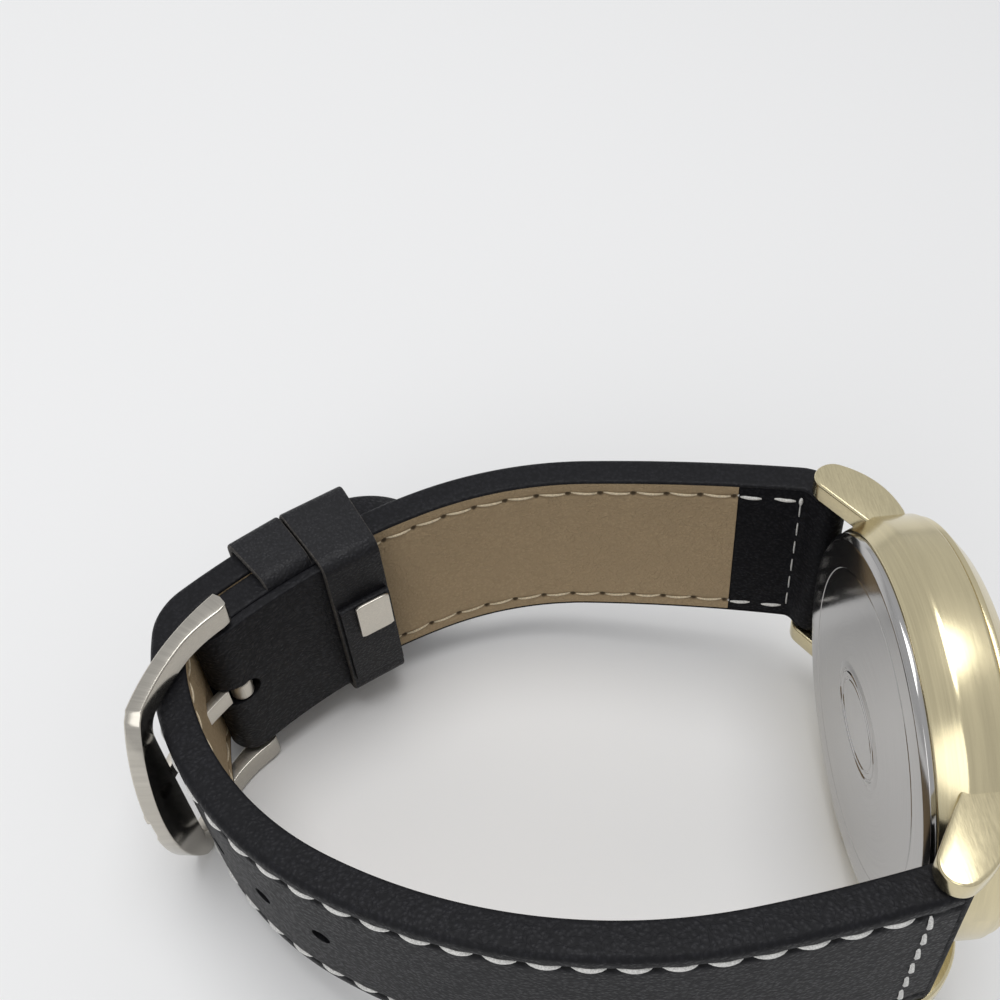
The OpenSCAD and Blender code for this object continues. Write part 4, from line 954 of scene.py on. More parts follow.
def keeper_patches(first, last, low, high):
    """A strip of leather closed round the strap, whose two cut edges have a second finish.

    It is a rounded rectangle (z, d) across and out, moved by its normal times the places of its section,
    and bent about the wrist arc's centre."""
    corner_r, steps = 1.15, 9
    half_z, half_d = KEEPER_HALF + KEEPER_T / 2, (high - low) / 2 - KEEPER_T / 2
    loop = np.stack([*rounded_loop(half_z, half_d, corner_r, steps), *rounded_loop(1.0, 1.0, 1.0, steps)])
    f = np.linspace(0, 1, 10)[1:-1]
    path = []
    for start in range(0, 4 * steps, steps):
        corner = loop[:, start:start + steps]
        side = corner[:, -1:] * (1 - f) + loop[:, start + steps, None] * f
        side[2:] = corner[2:, -1:]
        path += [corner, side]
    z, d, nz, nd = closed(np.concatenate(path, 1))[:, :, None]
    half = math.radians((last - first) / 2) * WRIST_R
    across, thick = rounded_loop(half, KEEPER_T / 2, 0.24, 4)
    angle = math.radians((first + last) / 2) + across / WRIST_R
    points = around(WRIST_C, WRIST_R + d + (high + low) / 2 + nd * thick, angle, z + nz * thick)
    run = np.cumsum(np.hypot(*(np.diff(v[:, 0], prepend=v[0, 0]) for v in (z, d))))
    uv = grid(run[:, None] / 100, np.abs(across) / 100)
    cut = np.abs(across[:-1]) + np.abs(across[1:]) > 2 * (half - 0.13)
    starts = np.flatnonzero(np.diff(cut, prepend=~cut[0]))
    return [patch(points[:, i:j + 1], uv[:, i:j + 1], int(cut[i]))
            for i, j in zip(starts, [*starts[1:], len(cut)])]


# Buckle
def frame_point(v, z, off):
    """A place on the buckle's curved sheet: v along it from the rim's middle, z across, off outwards.

    Its angle about the frame's centre is AIM + arcsin((base + v) / radius)."""
    base = FRAME_R * math.sin(math.radians(RIM_ANGLE - AIM))
    a = math.radians(AIM) + np.arcsin(np.clip((base + v) / FRAME_R, -1, 1))
    return around(FRAME_C, FRAME_R + off, a, z)


def buckle_paths():
    """Outer and inner outline of the frame from its hub to the middle of the bow, as (v, z) rows.

    The outer one is a straight arm, a small corner and an arc v = c + R cos t, z = R sin t; the inner
    one is a straight arm, a rounded corner and a straight edge."""
    v_hub = FRAME_R * (math.sin(math.radians(FRAME_ANGLE - AIM)) - math.sin(math.radians(RIM_ANGLE - AIM)))
    z_in, corner_v = FRAME_HALF - ARM_W, INNER_EDGE - INNER_CORNER_R
    middle_r = BOW_R + BOW_MORE
    edge = math.asin((FRAME_HALF - OUTER_CORNER) / middle_r)
    eye = v_hub + np.linspace(-HUB_R, HUB_R, 17)
    arm = np.concatenate([eye, np.linspace(v_hub + HUB_R, corner_v, 24)[1:]])
    t = np.linspace(0, 1, 12)[1:]
    turn = t * math.pi / 2
    lead = arm[-1] + (-BOW_R + middle_r * math.cos(edge) - 0.35 - arm[-1]) * t
    bow = np.linspace(edge, 0, 28)[1:]
    outer = [grid(arm, FRAME_HALF),
             grid(lead, FRAME_HALF - OUTER_CORNER * np.clip(t * 11 - 10, 0, 1)),
             grid(-BOW_R + middle_r * np.cos(bow), middle_r * np.sin(bow))]
    inner = [grid(arm, z_in),
             grid(corner_v + INNER_CORNER_R * np.sin(turn), z_in + INNER_CORNER_R * (np.cos(turn) - 1)),
             grid(INNER_EDGE, (z_in - INNER_CORNER_R) * (bow / edge))]
    return np.concatenate(outer), np.concatenate(inner), arm - v_hub


# Head
def lug_outline():
    """Side view of a lug in (y, x): a round end about the spring bar, and a back up to the case.

    The back is the curve (1 - t)^2 a + 2 t (1 - t) b + t^2 c."""
    eye, root = BAR[::-1], LUG_ROOT
    turn = np.radians(np.linspace(-125, 32, 26))
    tip = eye + LUG_TIP_R * grid(np.cos(turn), np.sin(turn))
    t = np.linspace(0, 1, 14)[1:, None]
    end, control = np.array([root + 1, CASE_TOP - 0.7]), np.array([eye[0] - 0.6, CASE_TOP - 1.5])
    back = (1 - t) ** 2 * tip[-1] + 2 * t * (1 - t) * control + t**2 * end
    inner = np.array([[root - 2, CASE_TOP - 0.7], [root - 2, LUG_LOW], [root - 0.8, LUG_LOW]])
    under = np.linspace(0, 1, 6)[1:-1, None]
    return np.concatenate([tip, back, inner, inner[-1] + (polar(eye, LUG_TIP_R, 235) - inner[-1]) * under])


def hand_patches(stations, z, t, degrees, ring):
    """A hand: rows of half widths along a ridged blade, turned about the axis, and a ring round it."""
    y, w = np.array(stations, float).T
    ridge = t * np.clip(w / w.max() + 0.4, 0, 1)
    rows = np.stack([grid(-w, y, z), grid(-w, y, z + t * 0.45), grid(0 * w, y, z + ridge),
                     grid(w, y, z + t * 0.45), grid(w, y, z), grid(-w, y, z)], 1)
    r_out, r_in, high = ring
    collar = rounded_profile([[r_in, z], [r_out, z], [r_out, z + high], [r_in, z + high]], 0.04, 3)
    return [solid(head_frame(spun(rows, degrees))), lathe(collar, 48)]


NODE_FINISHES = {
    "seal_rubber": "case_back_gasket crystal_gasket crown_gasket",
    "holder_plastic": "movement_holder",
    "movement_steel": "main_plate train_bridge battery",
    "board_green": "circuit_board",
    "coil_copper": "coil",
    "gear_brass": "intermediate_wheel seconds_wheel third_wheel centre_wheel minute_wheel hour_wheel",
    "bar_steel": "bridge_screws battery_clamp quartz_can stator rotor crown_tube stem setting_lever"
                 " bar_springs short_bar_tube short_bar_pin_a short_bar_pin_b long_bar_tube"
                 " long_bar_pin_a long_bar_pin_b buckle_bar_tube buckle_bar_pin_a buckle_bar_pin_b",
}

# Stage: the camera in the watch frame, solved from the photograph
CAMERA_AT = np.array([-31.63, -65.50, 110.13])
CAMERA_RIGHT = np.array([0.99525, -0.06320, -0.07401])
CAMERA_UP = np.array([0.09655, 0.73667, 0.66932])
CAMERA_AIM = np.array([-0.01222, 0.67329, -0.73928])
LENS = 45.63


def place_object(name, data, columns):
    """Links an object whose matrix has these columns: its three axes and its place."""
    made = bpy.data.objects.new(name, data)
    bpy.context.scene.collection.objects.link(made)
    matrix = Matrix.Identity(4)
    for c, column in enumerate(columns):
        for r in range(3):
            matrix[r][c] = float(column[r])
    made.matrix_world = matrix
    return made


def set_camera():
    """The camera at the photograph's viewing angle."""
    data = bpy.data.cameras.new("photo_camera")
    data.lens = LENS
    data.sensor_width = 36.0
    data.sensor_fit = "HORIZONTAL"
    data.clip_start = 0.001
    axes = [v @ AXES for v in (CAMERA_RIGHT, CAMERA_UP, -CAMERA_AIM)]
    bpy.context.scene.camera = place_object("photo_camera", data, [*axes, world(CAMERA_AT)])


def add_lamp(name, place, aim, size, power):
    """A soft round lamp at a place, aimed at another."""
    data = bpy.data.lights.new(name, "AREA")
    data.shape = "DISK"
    data.size = size
    data.energy = power
    z = np.array(place, float) - np.array(aim, float)
    z /= np.linalg.norm(z)
    x = np.cross([0.0, 1.0, 0.02], z)
    x /= np.linalg.norm(x)
    place_object(name, data, [x, np.cross(z, x), z, place])


# Settings, operators and panel
class WatchSizes(bpy.types.PropertyGroup):
    """Sizes that only the looks have."""

    thread_radius: FloatProperty(
        name="Outer thread radius", description="Radius of the white thread",
        default=0.00024, min=0.0001, max=0.0005, unit="LENGTH", precision=5)
    lining_thread_radius: FloatProperty(
        name="Lining thread radius", description="Radius of the cream thread",
        default=0.00014, min=0.0001, max=0.0004, unit="LENGTH", precision=5)


def colour_property(name, description, default):
    """A colour that the panel shows."""
    return FloatVectorProperty(name=name, description=description, default=default, subtype="COLOR",
                               size=3, min=0.0, max=1.0)


class WatchColours(bpy.types.PropertyGroup):
    """Colours of the finishes."""

    leather: colour_property("Leather", "Black leather of the strap", (0.0062, 0.0062, 0.0076))
    lining: colour_property("Lining", "Taupe lining leather", (0.44, 0.33, 0.202))
    thread: colour_property("Thread", "White thread of the outer face", (0.86, 0.85, 0.82))
    lining_thread: colour_property("Lining thread", "Cream thread of the lining", (0.82, 0.70, 0.50))
    buckle: colour_property("Buckle", "Warm silver of the buckle", (0.70, 0.66, 0.585))
    gold: colour_property("Gold", "Pale gold of the case", (0.74, 0.65, 0.42))
    steel: colour_property("Steel", "Polished steel of the case back", (0.52, 0.51, 0.50))
    floor: colour_property("Floor", "Pale floor", (0.90, 0.90, 0.90))


class Build:
    """What all the operators share."""

    bl_options = {"REGISTER", "UNDO"}


class WATCH_OT_finishes(Build, bpy.types.Operator):
    """Makes every finish of the watch, by name."""

    bl_idname = "watch.finishes"
    bl_label = "Finishes"

    def execute(self, context):
        for group in (watch_place_group, leather_group, needle_group, brushed_group):
            group()
        colours = context.scene.watch_colours
        black, taupe, silver = tuple(colours.leather), tuple(colours.lining), tuple(colours.buckle)
        gold, steel = tuple(colours.gold), tuple(colours.steel)
        # This black, 2.2 times lighter, is the painted highlight on the black leathers' pebble tops.
        lit_black = scaled(2.2, black)
        # These dark colours are the painted shade of the needle holes in the outer leather and in the
        # lining.
        thread_hole_shade, lining_hole_shade = (0.002, 0.002, 0.002), (0.035, 0.024, 0.014)
        # Name, colour, painted highlight colour of the pebble tops, pebble size, creases, roughness, relief,
        # gloss, painted shade colour of the needle holes
        for row in (
            ("outer_leather", black, lit_black, 0.42, 0.5, 0.44, 0.00003, 0.15, thread_hole_shade),
            ("fold_leather", black, lit_black, 0.5, 0.8, 0.42, 0.00003, 0.16),
            ("keeper_leather", black, lit_black, 0.34, 0.5, 0.45, 0.00004, 0.26),
            ("cut_edge", (0.05, 0.047, 0.044), (0.12, 0.11, 0.10), 0.3, 0.2, 0.7, 0.00003, 0.15),
            ("tab_leather", black, lit_black, 0.4, 0.7, 0.5, 0.00003, 0.05),
            ("lining_leather", scaled(0.84, taupe), taupe, 0.36, 0.7, 0.66, 0.00005, 0.1, lining_hole_shade),
        ):
            leather_material(*row)
        thread_material("white_thread", tuple(colours.thread))
        thread_material("cream_thread", tuple(colours.lining_thread))
        # Name, colour, roughness, scratches per millimetre on each axis, spread of roughness, relief
        for row in (
            ("brushed_silver", silver, 0.36, (11.0, 7.0, 0), 0.35, 0.000006, True),
            # The frame's inner face: a smoother polish, and a colour 0.8 times the buckle's as painted
            # shade.
            ("dark_silver", scaled(0.8, silver), 0.14, (2.0, 8.0, 0), 0.1, 0.000003, True),
            ("clip_silver", silver, 0.3, (0.6, 9.0, 9.0), 0.3, 0.000005),
            ("pale_gold", gold, 0.17, (6.0, 0.6, 6.0), 0.12, 0.000003),
            ("bar_steel", (0.6, 0.6, 0.6), 0.25, (6.0, 6.0, 0.6), 0.15, 0.000003),
        ):
            metal_material(*row)
        # Name, colour, roughness, rings per millimetre, relief, spread of roughness
        for row in (
            ("turned_gold", gold, 0.16, 7.0, 0.000003),
            ("back_steel", steel, 0.1, 9.0, 0.0000025, 0.09),
            ("movement_steel", (0.66, 0.65, 0.62), 0.3, 6.0, 0.000004),
            ("gear_brass", (0.72, 0.52, 0.22), 0.28, 6.0, 0.000004),
        ):
            turned_material(*row)
        # Name, colour, roughness, clouds per millimetre, relief
        for row in (
            ("padding", (0.20, 0.19, 0.18), 0.95, 3.0, 0.0001),
            ("holder_plastic", (0.03, 0.03, 0.035), 0.5),
            ("board_green", (0.02, 0.12, 0.05), 0.45),
            ("seal_rubber", (0.02, 0.02, 0.02), 0.7),
            ("print_white", (0.72, 0.71, 0.66), 0.6),
        ):
            speckled_material(*row)
        speckled_material("coil_copper", (0.62, 0.28, 0.12), 0.35, 8.0, 0.00002, Metallic=1.0)
        dial_material("dial_black", (0.008, 0.008, 0.01))
        new_material("crystal_glass", Base_Color=(1, 1, 1), Roughness=0.02, Transmission_Weight=1.0, IOR=1.5)
        return {"FINISHED"}


class WATCH_OT_short_strap(Build, bpy.types.Operator):
    """Builds the 12 o'clock strap's outer leather, lining and padding, slotted for the tongue."""

    bl_idname = "watch.short_strap"
    bl_label = "Short strap"

    def execute(self, context):
        s = np.append(np.arange(0.0, SHORT.length, PITCH / 8), SHORT.length)
        w = SHORT.half_width(s)
        lined = s[(s > TAB_END) & (s < wrist_s(FIXED_FROM) - 0.2)]
        filled = s[s < SHORT.length - 3.0]
        bar = mesh_of("bar_cut", [tube((*BUCKLE_BAR, -20), (*BUCKLE_BAR, 20), BAR_CUT_R)])
        add_strap("short_strap", leather_shell(SHORT, s, w, np.minimum(SHORT_HOLLOW, w - 1.0)),
                  lining_layer(SHORT, lined, SHORT.half_width(lined) - LINING_INSET - SEAT),
                  padding_layer(SHORT, filled, np.full(len(filled), SHORT_CORE)), (slot_cutter(), bar), ())
        return {"FINISHED"}


class WATCH_OT_long_strap(Build, bpy.types.Operator):
    """Builds the 6 o'clock strap's outer leather, lining and padding, all punched by the same holes."""

    bl_idname = "watch.long_strap"
    bl_label = "Long strap"

    def execute(self, context):
        tip = LONG.length - TIP_LEN
        s = np.concatenate([np.arange(0.0, tip, PITCH / 8),
                            LONG.length - TIP_LEN * (1 - np.sin(np.linspace(0, 1, 40) * math.pi / 2))])
        w = tail_half(s)
        lined = s[(s > TAB_END) & (s < LONG.length - LINING_INSET)]
        filled = s[s < LONG.length - 1.8]
        cutters = (hole_cutter(),)
        add_strap("long_strap", leather_shell(LONG, s, w, np.clip(w - 1.35, 0.05, LONG_HOLLOW)),
                  lining_layer(LONG, lined, tail_half(lined, LINING_INSET + SEAT)),
                  padding_layer(LONG, filled, np.clip(tail_half(filled) - 1.4, 0.4, LONG_CORE)),
                  cutters, cutters)
        return {"FINISHED"}


class WATCH_OT_tabs(Build, bpy.types.Operator):
    """Builds the leather that runs along each lining and half a circle round its spring bar."""

    bl_idname = "watch.tabs"
    bl_label = "Lug tabs"

    def execute(self, context):
        for name, run, node in (("short_tab", SHORT, "short_lug_tab"), ("long_tab", LONG, "long_lug_tab")):
            s = np.linspace(TAB_END, 0, 26)
            mid, out = run.at(s)
            (bar,), (normal,) = run.at(np.array([0.0]))
            ahead = run.at(np.array([0.5]))[0][0] - bar
            ahead /= np.hypot(*ahead)
            turn = np.linspace(0.06, math.pi, 18)[:, None]
            radial = -np.cos(turn) * normal - np.sin(turn) * ahead
            back_mid, back_out = run.at(np.array([0.4, 0.9]))
            mid = np.concatenate([mid + out * (-HALF_T + LINING_TOP - SEAT) / 2,
                                  bar + radial * (BAR_BORE + HALF_T) / 2,
                                  back_mid + back_out * (HALF_T - 0.5)])
            half_w = np.append(run.half_width(s), np.full(20, LUG_HALF_W)) - LINING_INSET - SEAT
            half_t = np.repeat([(LINING_T - SEAT) / 2, (HALF_T - BAR_BORE) / 2, 0.4, 0.36], [26, 18, 1, 1])
            ribbon("tab_leather", name, node, mid, np.concatenate([out, -radial, -back_out]), half_w, half_t,
                   0.2, np.concatenate([s, -np.linspace(0.1, 4, 18), [-4.4, -4.9]]))
        return {"FINISHED"}


class WATCH_OT_fold(Build, bpy.types.Operator):
    """Builds the short strap's end, turned round the buckle bar: the inner tab, then half an ellipse."""

    bl_idname = "watch.fold"
    bl_label = "Buckle fold"

    def execute(self, context):
        s, end_s = np.linspace(wrist_s(FOLD_END), SHORT.length, 40), SHORT.length
        mid, out = SHORT.at(s)
        thin = np.clip((s - s[0]) / 1.6, 0, 1)
        half_t = TAB_T / 2 * (0.45 + 0.55 * np.sqrt(thin))
        mid = mid + out * (-HALF_T - SEAT - half_t)[:, None]
        (end,), (normal,) = SHORT.at(np.array([end_s]))
        ahead = np.array([-normal[1], normal[0]])
        inner, outer = -HALF_T - SEAT - TAB_T / 2, HALF_T - 0.55
        high, long = (outer - inner) / 2, 2.1
        turn = np.linspace(0, math.pi, 26)[1:, None]
        wrap = end + normal * ((inner + outer) / 2 - high * np.cos(turn)) + ahead * long * np.sin(turn)
        across = normal * (-np.cos(turn) / high) + ahead * np.sin(turn) / long
        across /= np.linalg.norm(across, axis=1)[:, None]
        back_mid, back_out = SHORT.at(end_s - np.array([0.5, 1.2]))
        half_w = np.full(67, TIP_HALF_W - 0.02)
        half_w[:40] -= 0.7 * (1 - np.sqrt(np.clip((s - s[0]) / 0.7, 0, 1)))
        half_w[40:65] -= 0.5 * np.sin(turn[:, 0]) ** 4
        ribbon("fold_leather", "buckle_fold_leather", "buckle_fold",
               np.concatenate([mid, wrap, back_mid + back_out * (HALF_T - 0.62)]),
               np.concatenate([-out, across, back_out]), half_w,
               np.concatenate([half_t, np.linspace(TAB_T / 2, 0.55, 25), [0.52, 0.45]]),
               0.22, np.concatenate([s, end_s + np.linspace(0.2, 6, 25), [end_s + 6.5, end_s + 7]]),
               (slot_cutter(),))
        return {"FINISHED"}


class WATCH_OT_stitching(Build, bpy.types.Operator):
    """Sews white thread on the outer faces and lug tabs, and finer cream thread on the linings."""

    bl_idname = "watch.stitching"
    bl_label = "Stitching"

    def execute(self, context):
        sizes = context.scene.watch_sizes
        r, fine = sizes.thread_radius / MM, sizes.lining_thread_radius / MM
        tail = LONG.length - TIP_LEN - 1
        # Distances from the spring bar to the first stitch, and to the rows across the face and the tab
        first, face_row, tab_row = 2.0, 2.6, 3.4
        # Name, strap, and where its rows end on the outer face and on the lining
        runs = (("short", SHORT, wrist_s(FLOATING_FROM - 6), wrist_s(FOLD_END) - 0.5),
                ("long", LONG, tail, tail))
        for name, run, last, _ in runs:
            rows = stitches(run, first, last, HALF_T - 0.1, 1, r)
            rows += cross_stitches(run, face_row, HALF_T + 0.05, 1, r)
            add_piece(name + "_outer_stitches", rows, ("white_thread",))
        for name, run, _, last in runs:
            rows = stitches(run, TAB_END, last, -HALF_T + 0.06, -1, fine)
            add_piece(name + "_lining_stitches", rows, ("cream_thread",))
        for name, run, _, _ in runs:
            rows = stitches(run, tab_row, TAB_END + 0.5, -HALF_T + 0.04, -1, fine * 1.4)
            rows += cross_stitches(run, tab_row, -HALF_T + 0.03, -1, fine * 1.6)
            rows.append(knot(run, tab_row, LUG_HALF_W - ROW, -HALF_T - 0.12))
            add_piece(name + "_tab_stitches", rows, ("white_thread",))
        return {"FINISHED"}


class WATCH_OT_keepers(Build, bpy.types.Operator):
    """Builds the two keepers, and the flap of the floating one."""

    bl_idname = "watch.keepers"
    bl_label = "Keepers"

    def execute(self, context):
        for name, body, first, last, low in (
            ("fixed_keeper", "watch", FIXED_FROM, FIXED_TO, -HALF_T + SEAT),
            ("floating_keeper", "floating_keeper_group", FLOATING_FROM, FLOATING_TO, -FLOATING_IN),
        ):
            add_piece(name + "_leather", keeper_patches(first, last, low, KEEPER_OUT),
                      ("keeper_leather", "cut_edge"), name, body)
        half_s, half_z, half_t, shift = FLOATING_W / 2 - 0.25, 6.2, 0.42, 1.8
        z, d = rounded_loop(half_z, half_t, 0.3, 5)
        a = FLOATING_MID + np.linspace(-half_s, half_s, 14)[:, None] / WRIST_R
        flap = solid(around(WRIST_C, FLAP_R + half_t + d, a, z - shift))
        add_piece("floating_keeper_flap", [flap], ("keeper_leather",), None,
                  "floating_keeper_group")
        return {"FINISHED"}


class WATCH_OT_clip(Build, bpy.types.Operator):
    """Builds the flat clip on the floating keeper: a bent plate with rounded edges, and two prongs."""

    bl_idname = "watch.clip"
    bl_label = "Keeper clip"

    def execute(self, context):
        half_s, half_z, shift = 2.1, 2.6, 0.7
        mid, face_r = FLOATING_MID - shift / WRIST_R, FLAP_R - 0.06
        s = np.linspace(-half_s, half_s, 12)[:, None]
        z, t = rounded_loop(half_z, 0.2, 0.12, 4)
        z = z * (1 - 0.25 * np.clip(np.abs(s) / half_s, 0, 1) ** 8 / half_z)
        bend = 0.18 * np.clip((z - 0.9) / 1.7, 0, 1) ** 2
        parts = [solid(around(WRIST_C, face_r - 0.26 - bend * 0.6 + t, mid + s / WRIST_R, z + 2.0))]
        for side in (-1.4, 1.4):
            ends = around(WRIST_C, face_r + np.array([-0.2, 1.0]), mid + side / WRIST_R, 1.0)
            parts.append(tube(*ends, 0.28, 12))
        add_piece("keeper_clip_plate", parts, ("clip_silver",), "keeper_clip",
                  "floating_keeper_group")
        return {"FINISHED"}


class WATCH_OT_buckle(Build, bpy.types.Operator):
    """Builds the frame: a crisp bar along one arm, round the bow and back, swept between two outlines."""

    bl_idname = "watch.buckle"
    bl_label = "Buckle"

    def execute(self, context):
        outer, inner, x = buckle_paths()
        arm, flat = len(x), FRAME_T / 2
        end = np.maximum(HUB_R * (1 - np.clip(-x / HUB_R, 0, 1) ** 4) ** 0.25, 0.1)
        taper = flat + (HUB_R - flat) * (1 - np.clip(x / 4.5, 0, 1)) ** 1.5
        notch = np.clip((np.abs(outer[arm:, 1]) - 1.4) / 0.5, 0, 1)
        rise = flat + (FRAME_OUT - flat) * notch**2 * (3 - 2 * notch)
        high = np.concatenate([np.minimum(FRAME_OUT, end), rise])
        low = np.concatenate([np.where(x > 0, taper, end), np.full(len(notch), flat)])
        outer, inner = (np.concatenate([path, path[-2::-1] * [1.0, -1.0]]) for path in (outer, inner))
        high, low = (np.concatenate([side, side[-2::-1]])[:, None] for side in (high, low))
        middle, reach = (outer + inner) / 2, (outer - inner) / 2
        half_w = np.hypot(*reach.T)
        normal = reach / half_w[:, None]
        half_t = (high + low) / 2
        a, b = rounded_loop(half_w, half_t[:, 0], np.minimum(EDGE_R, half_t * 0.9), 4)
        points = frame_point(middle[:, :1] + normal[:, :1] * a, middle[:, 1:] + normal[:, 1:] * a,
                             b + (high - low) / 2)
        length = np.cumsum(np.hypot(*np.diff(middle, axis=0, prepend=middle[:1]).T))
        uv = grid(length[:, None] / 100, a / 100)
        # From column 8 on, the face towards the frame's centre and one side take the darker silver as
        # painted shade.
        parts = [patch(points[:, :9], uv[:, :9]), patch(points[:, 8:], uv[:, 8:], 1)]
        for ring in (points[0], points[-1]):
            parts.append(patch(np.stack([ring, np.broadcast_to(ring[:-1].mean(0), ring.shape)])))
        add_piece("buckle_frame_bow", parts, ("brushed_silver", "dark_silver"), "buckle_frame",
                  "buckle_group", 50)
        return {"FINISHED"}


class WATCH_OT_tongue(Build, bpy.types.Operator):
    """Builds the tongue: a ring round the bar that runs out into a tapered bar with a bent-down tip."""

    bl_idname = "watch.tongue"
    bl_label = "Tongue"

    def execute(self, context):
        a = np.radians(np.linspace(TONGUE_FROM, TONGUE_TO, 60))
        x = (a - a[0]) * FRAME_R
        end, half = x[-1], TONGUE_W / 2
        tip = np.sqrt(1 - (1 - np.clip((end - x) / 0.9, 0, 1)) ** 2)
        half_w = np.interp(x, [0, 3, end - 6, end - 1.2], [half, half, half * 0.9, half * 0.72])
        z, d = rounded_loop(half_w * (0.25 + 0.75 * tip), TONGUE_T / 2 * (0.45 + 0.55 * tip), 0.11, 4)
        drop = 0.12 * np.clip((x - end + 3) / 3, 0, 1) ** 2
        points = around(TONGUE_C, FRAME_R + d - drop[:, None], a[:, None], z)
        bar = solid(points[6:], grid(x[:, None] / 100, z / 100)[6:])
        turn = np.linspace(0, 2 * math.pi, 41)[:, None]
        ring_r, ring_half_t = 0.98, 0.28
        z, d = rounded_loop(half, ring_half_t, 0.12, 4)
        ring = around(BUCKLE_BAR, ring_r + d, turn, z)
        add_piece("buckle_tongue_bar", [bar, patch(ring, grid(turn / 100, 0 * z))], ("brushed_silver",),
                  "buckle_tongue", "tongue_group", 50)
        return {"FINISHED"}


class WATCH_OT_case(Build, bpy.types.Operator):
    """Builds the case band, turned as one ring, and four lugs whose sides are rounded plates."""

    bl_idname = "watch.case"
    bl_label = "Case"

    def execute(self, context):
        profile = rounded_profile(
            [[BACK_SNAP_R, BACK_T], [CASE_FOOT_R, BACK_T], [CASE_R, CASE_FOOT_TOP], [CASE_R, CASE_TOP - 0.3],
             [BEZEL_OUT_R, CASE_TOP], [BEZEL_R, CASE_TOP], [BEZEL_R, BEZEL_SEAT], [BORE_R, BEZEL_SEAT],
             [BORE_R, SNAP_TOP], [BACK_SNAP_R, SNAP_TOP]],
            [0.12, 0.25, 1.2, 0.25, 0.2, 0.05, 0, 0, 0, 0], 6)
        parts = [lathe(profile, 200)]
        for low in (-LUG_GAP / 2 - LUG_T, LUG_GAP / 2):
            y, x, across = np.moveaxis(slab(lug_outline(), low, low + LUG_T, 0.32, 5), -1, 0)
            parts.extend(solid(grid(x, y * end, -across), grid(y / 100, x / 100), 1) for end in (-1, 1))
        add_piece("case_middle", parts, ("turned_gold", "pale_gold"), "case_body", sharp=34)
        return {"FINISHED"}


class WATCH_OT_back(Build, bpy.types.Operator):
    """Builds the case back: a polished plate with an oval whose rim has two fine lines."""

    bl_idname = "watch.back"
    bl_label = "Case back"

    def execute(self, context):
        seat, bore = BACK_SNAP_R - SEAT, BACK_SNAP_R - 0.7
        rim = rounded_profile([[BACK_SNAP_R, 0.0], [BACK_FACE_R, 0.0], [BACK_RIM_R, 0.5],
                               [BACK_RIM_R, BACK_T], [BACK_SNAP_R, BACK_T]], [0, 0.3, 0.15, 0.1, 0], 5)[1:-1]
        profile = np.concatenate([
            [[0.0, 0.0], [4.0, 0.0], [9.0, 0.0], [14.0, 0.0]],
            [[15.55, 0.0], [15.62, 0.05], [15.78, 0.05], [15.85, 0.0]], rim,
            [[seat, BACK_T], [seat, BACK_T + 1.2], [bore, BACK_T + 1.2], [bore, BACK_T], [0.0, BACK_T]]])
        # The oval: parts of its half sizes to 12 and 9 o'clock, and heights, down to its middle
        half_y, half_z, mid_y, mid_z = 6.5, 4.5, 0.5, -0.3
        steps = [[1.09, 0.03], [1.0, -0.12], [0.97, -0.16], [0.95, -0.16], [0.93, -0.02], [0.9, -0.02],
                 [0.88, -0.14], [0.80, -0.14], [0.785, -0.05], [0.76, -0.05], [0.745, -0.12], [0.5, -0.15],
                 [0.25, -0.165], [0.0, -0.17]]
        rows = [(0.03, 0.0, 0.0), (0.03, 7.0, 4.9), *((high, half_y * k, half_z * k) for k, high in steps)]
        high, y, z = np.array(rows).T[:, :, None]
        turn = np.linspace(0, 2 * math.pi, 121)
        oval = patch(grid(high, mid_y + y * np.cos(turn), mid_z + z * np.sin(turn)))
        add_piece("case_back_plate", [lathe(profile, 220), oval], ("back_steel",), "case_back",
                  sharp=30)
        return {"FINISHED"}


class WATCH_OT_bezel(Build, bpy.types.Operator):
    """Builds the bezel and the domed crystal."""

    bl_idname = "watch.bezel"
    bl_label = "Bezel and crystal"

    def execute(self, context):
        bore, snap = CRYSTAL_R + 0.45, BEZEL_R - SEAT
        profile = rounded_profile(
            [[bore, BEZEL_SEAT], [snap, BEZEL_SEAT], [snap, CASE_TOP], [BEZEL_OUT_R, CASE_TOP],
             [BEZEL_OUT_R, CASE_TOP + 0.5], [BEZEL_R, BEZEL_TOP - 0.1], [BEZEL_R - 0.3, BEZEL_TOP],
             [bore, BEZEL_TOP]],
            [0, 0, 0, 0.08, 0.22, 0.25, 0.1, 0.12], 6)
        add_piece("bezel_ring", [lathe(profile, 200)], ("turned_gold",), "bezel", sharp=32)
        top = CRYSTAL_LOW + CRYSTAL_T
        r = np.linspace(0, 1, 14)
        profile = np.concatenate([
            grid((CRYSTAL_R - 0.3) * r, top - 0.12 * r**4),
            [[CRYSTAL_R - 0.06, top - 0.25], [CRYSTAL_R, top - 0.45], [CRYSTAL_R, CRYSTAL_LOW + 0.1],
             [CRYSTAL_R - 0.1, CRYSTAL_LOW], [0, CRYSTAL_LOW]]])
        add_piece("crystal_disc", [lathe(profile)], ("crystal_glass",), "crystal", sharp=32)
        return {"FINISHED"}


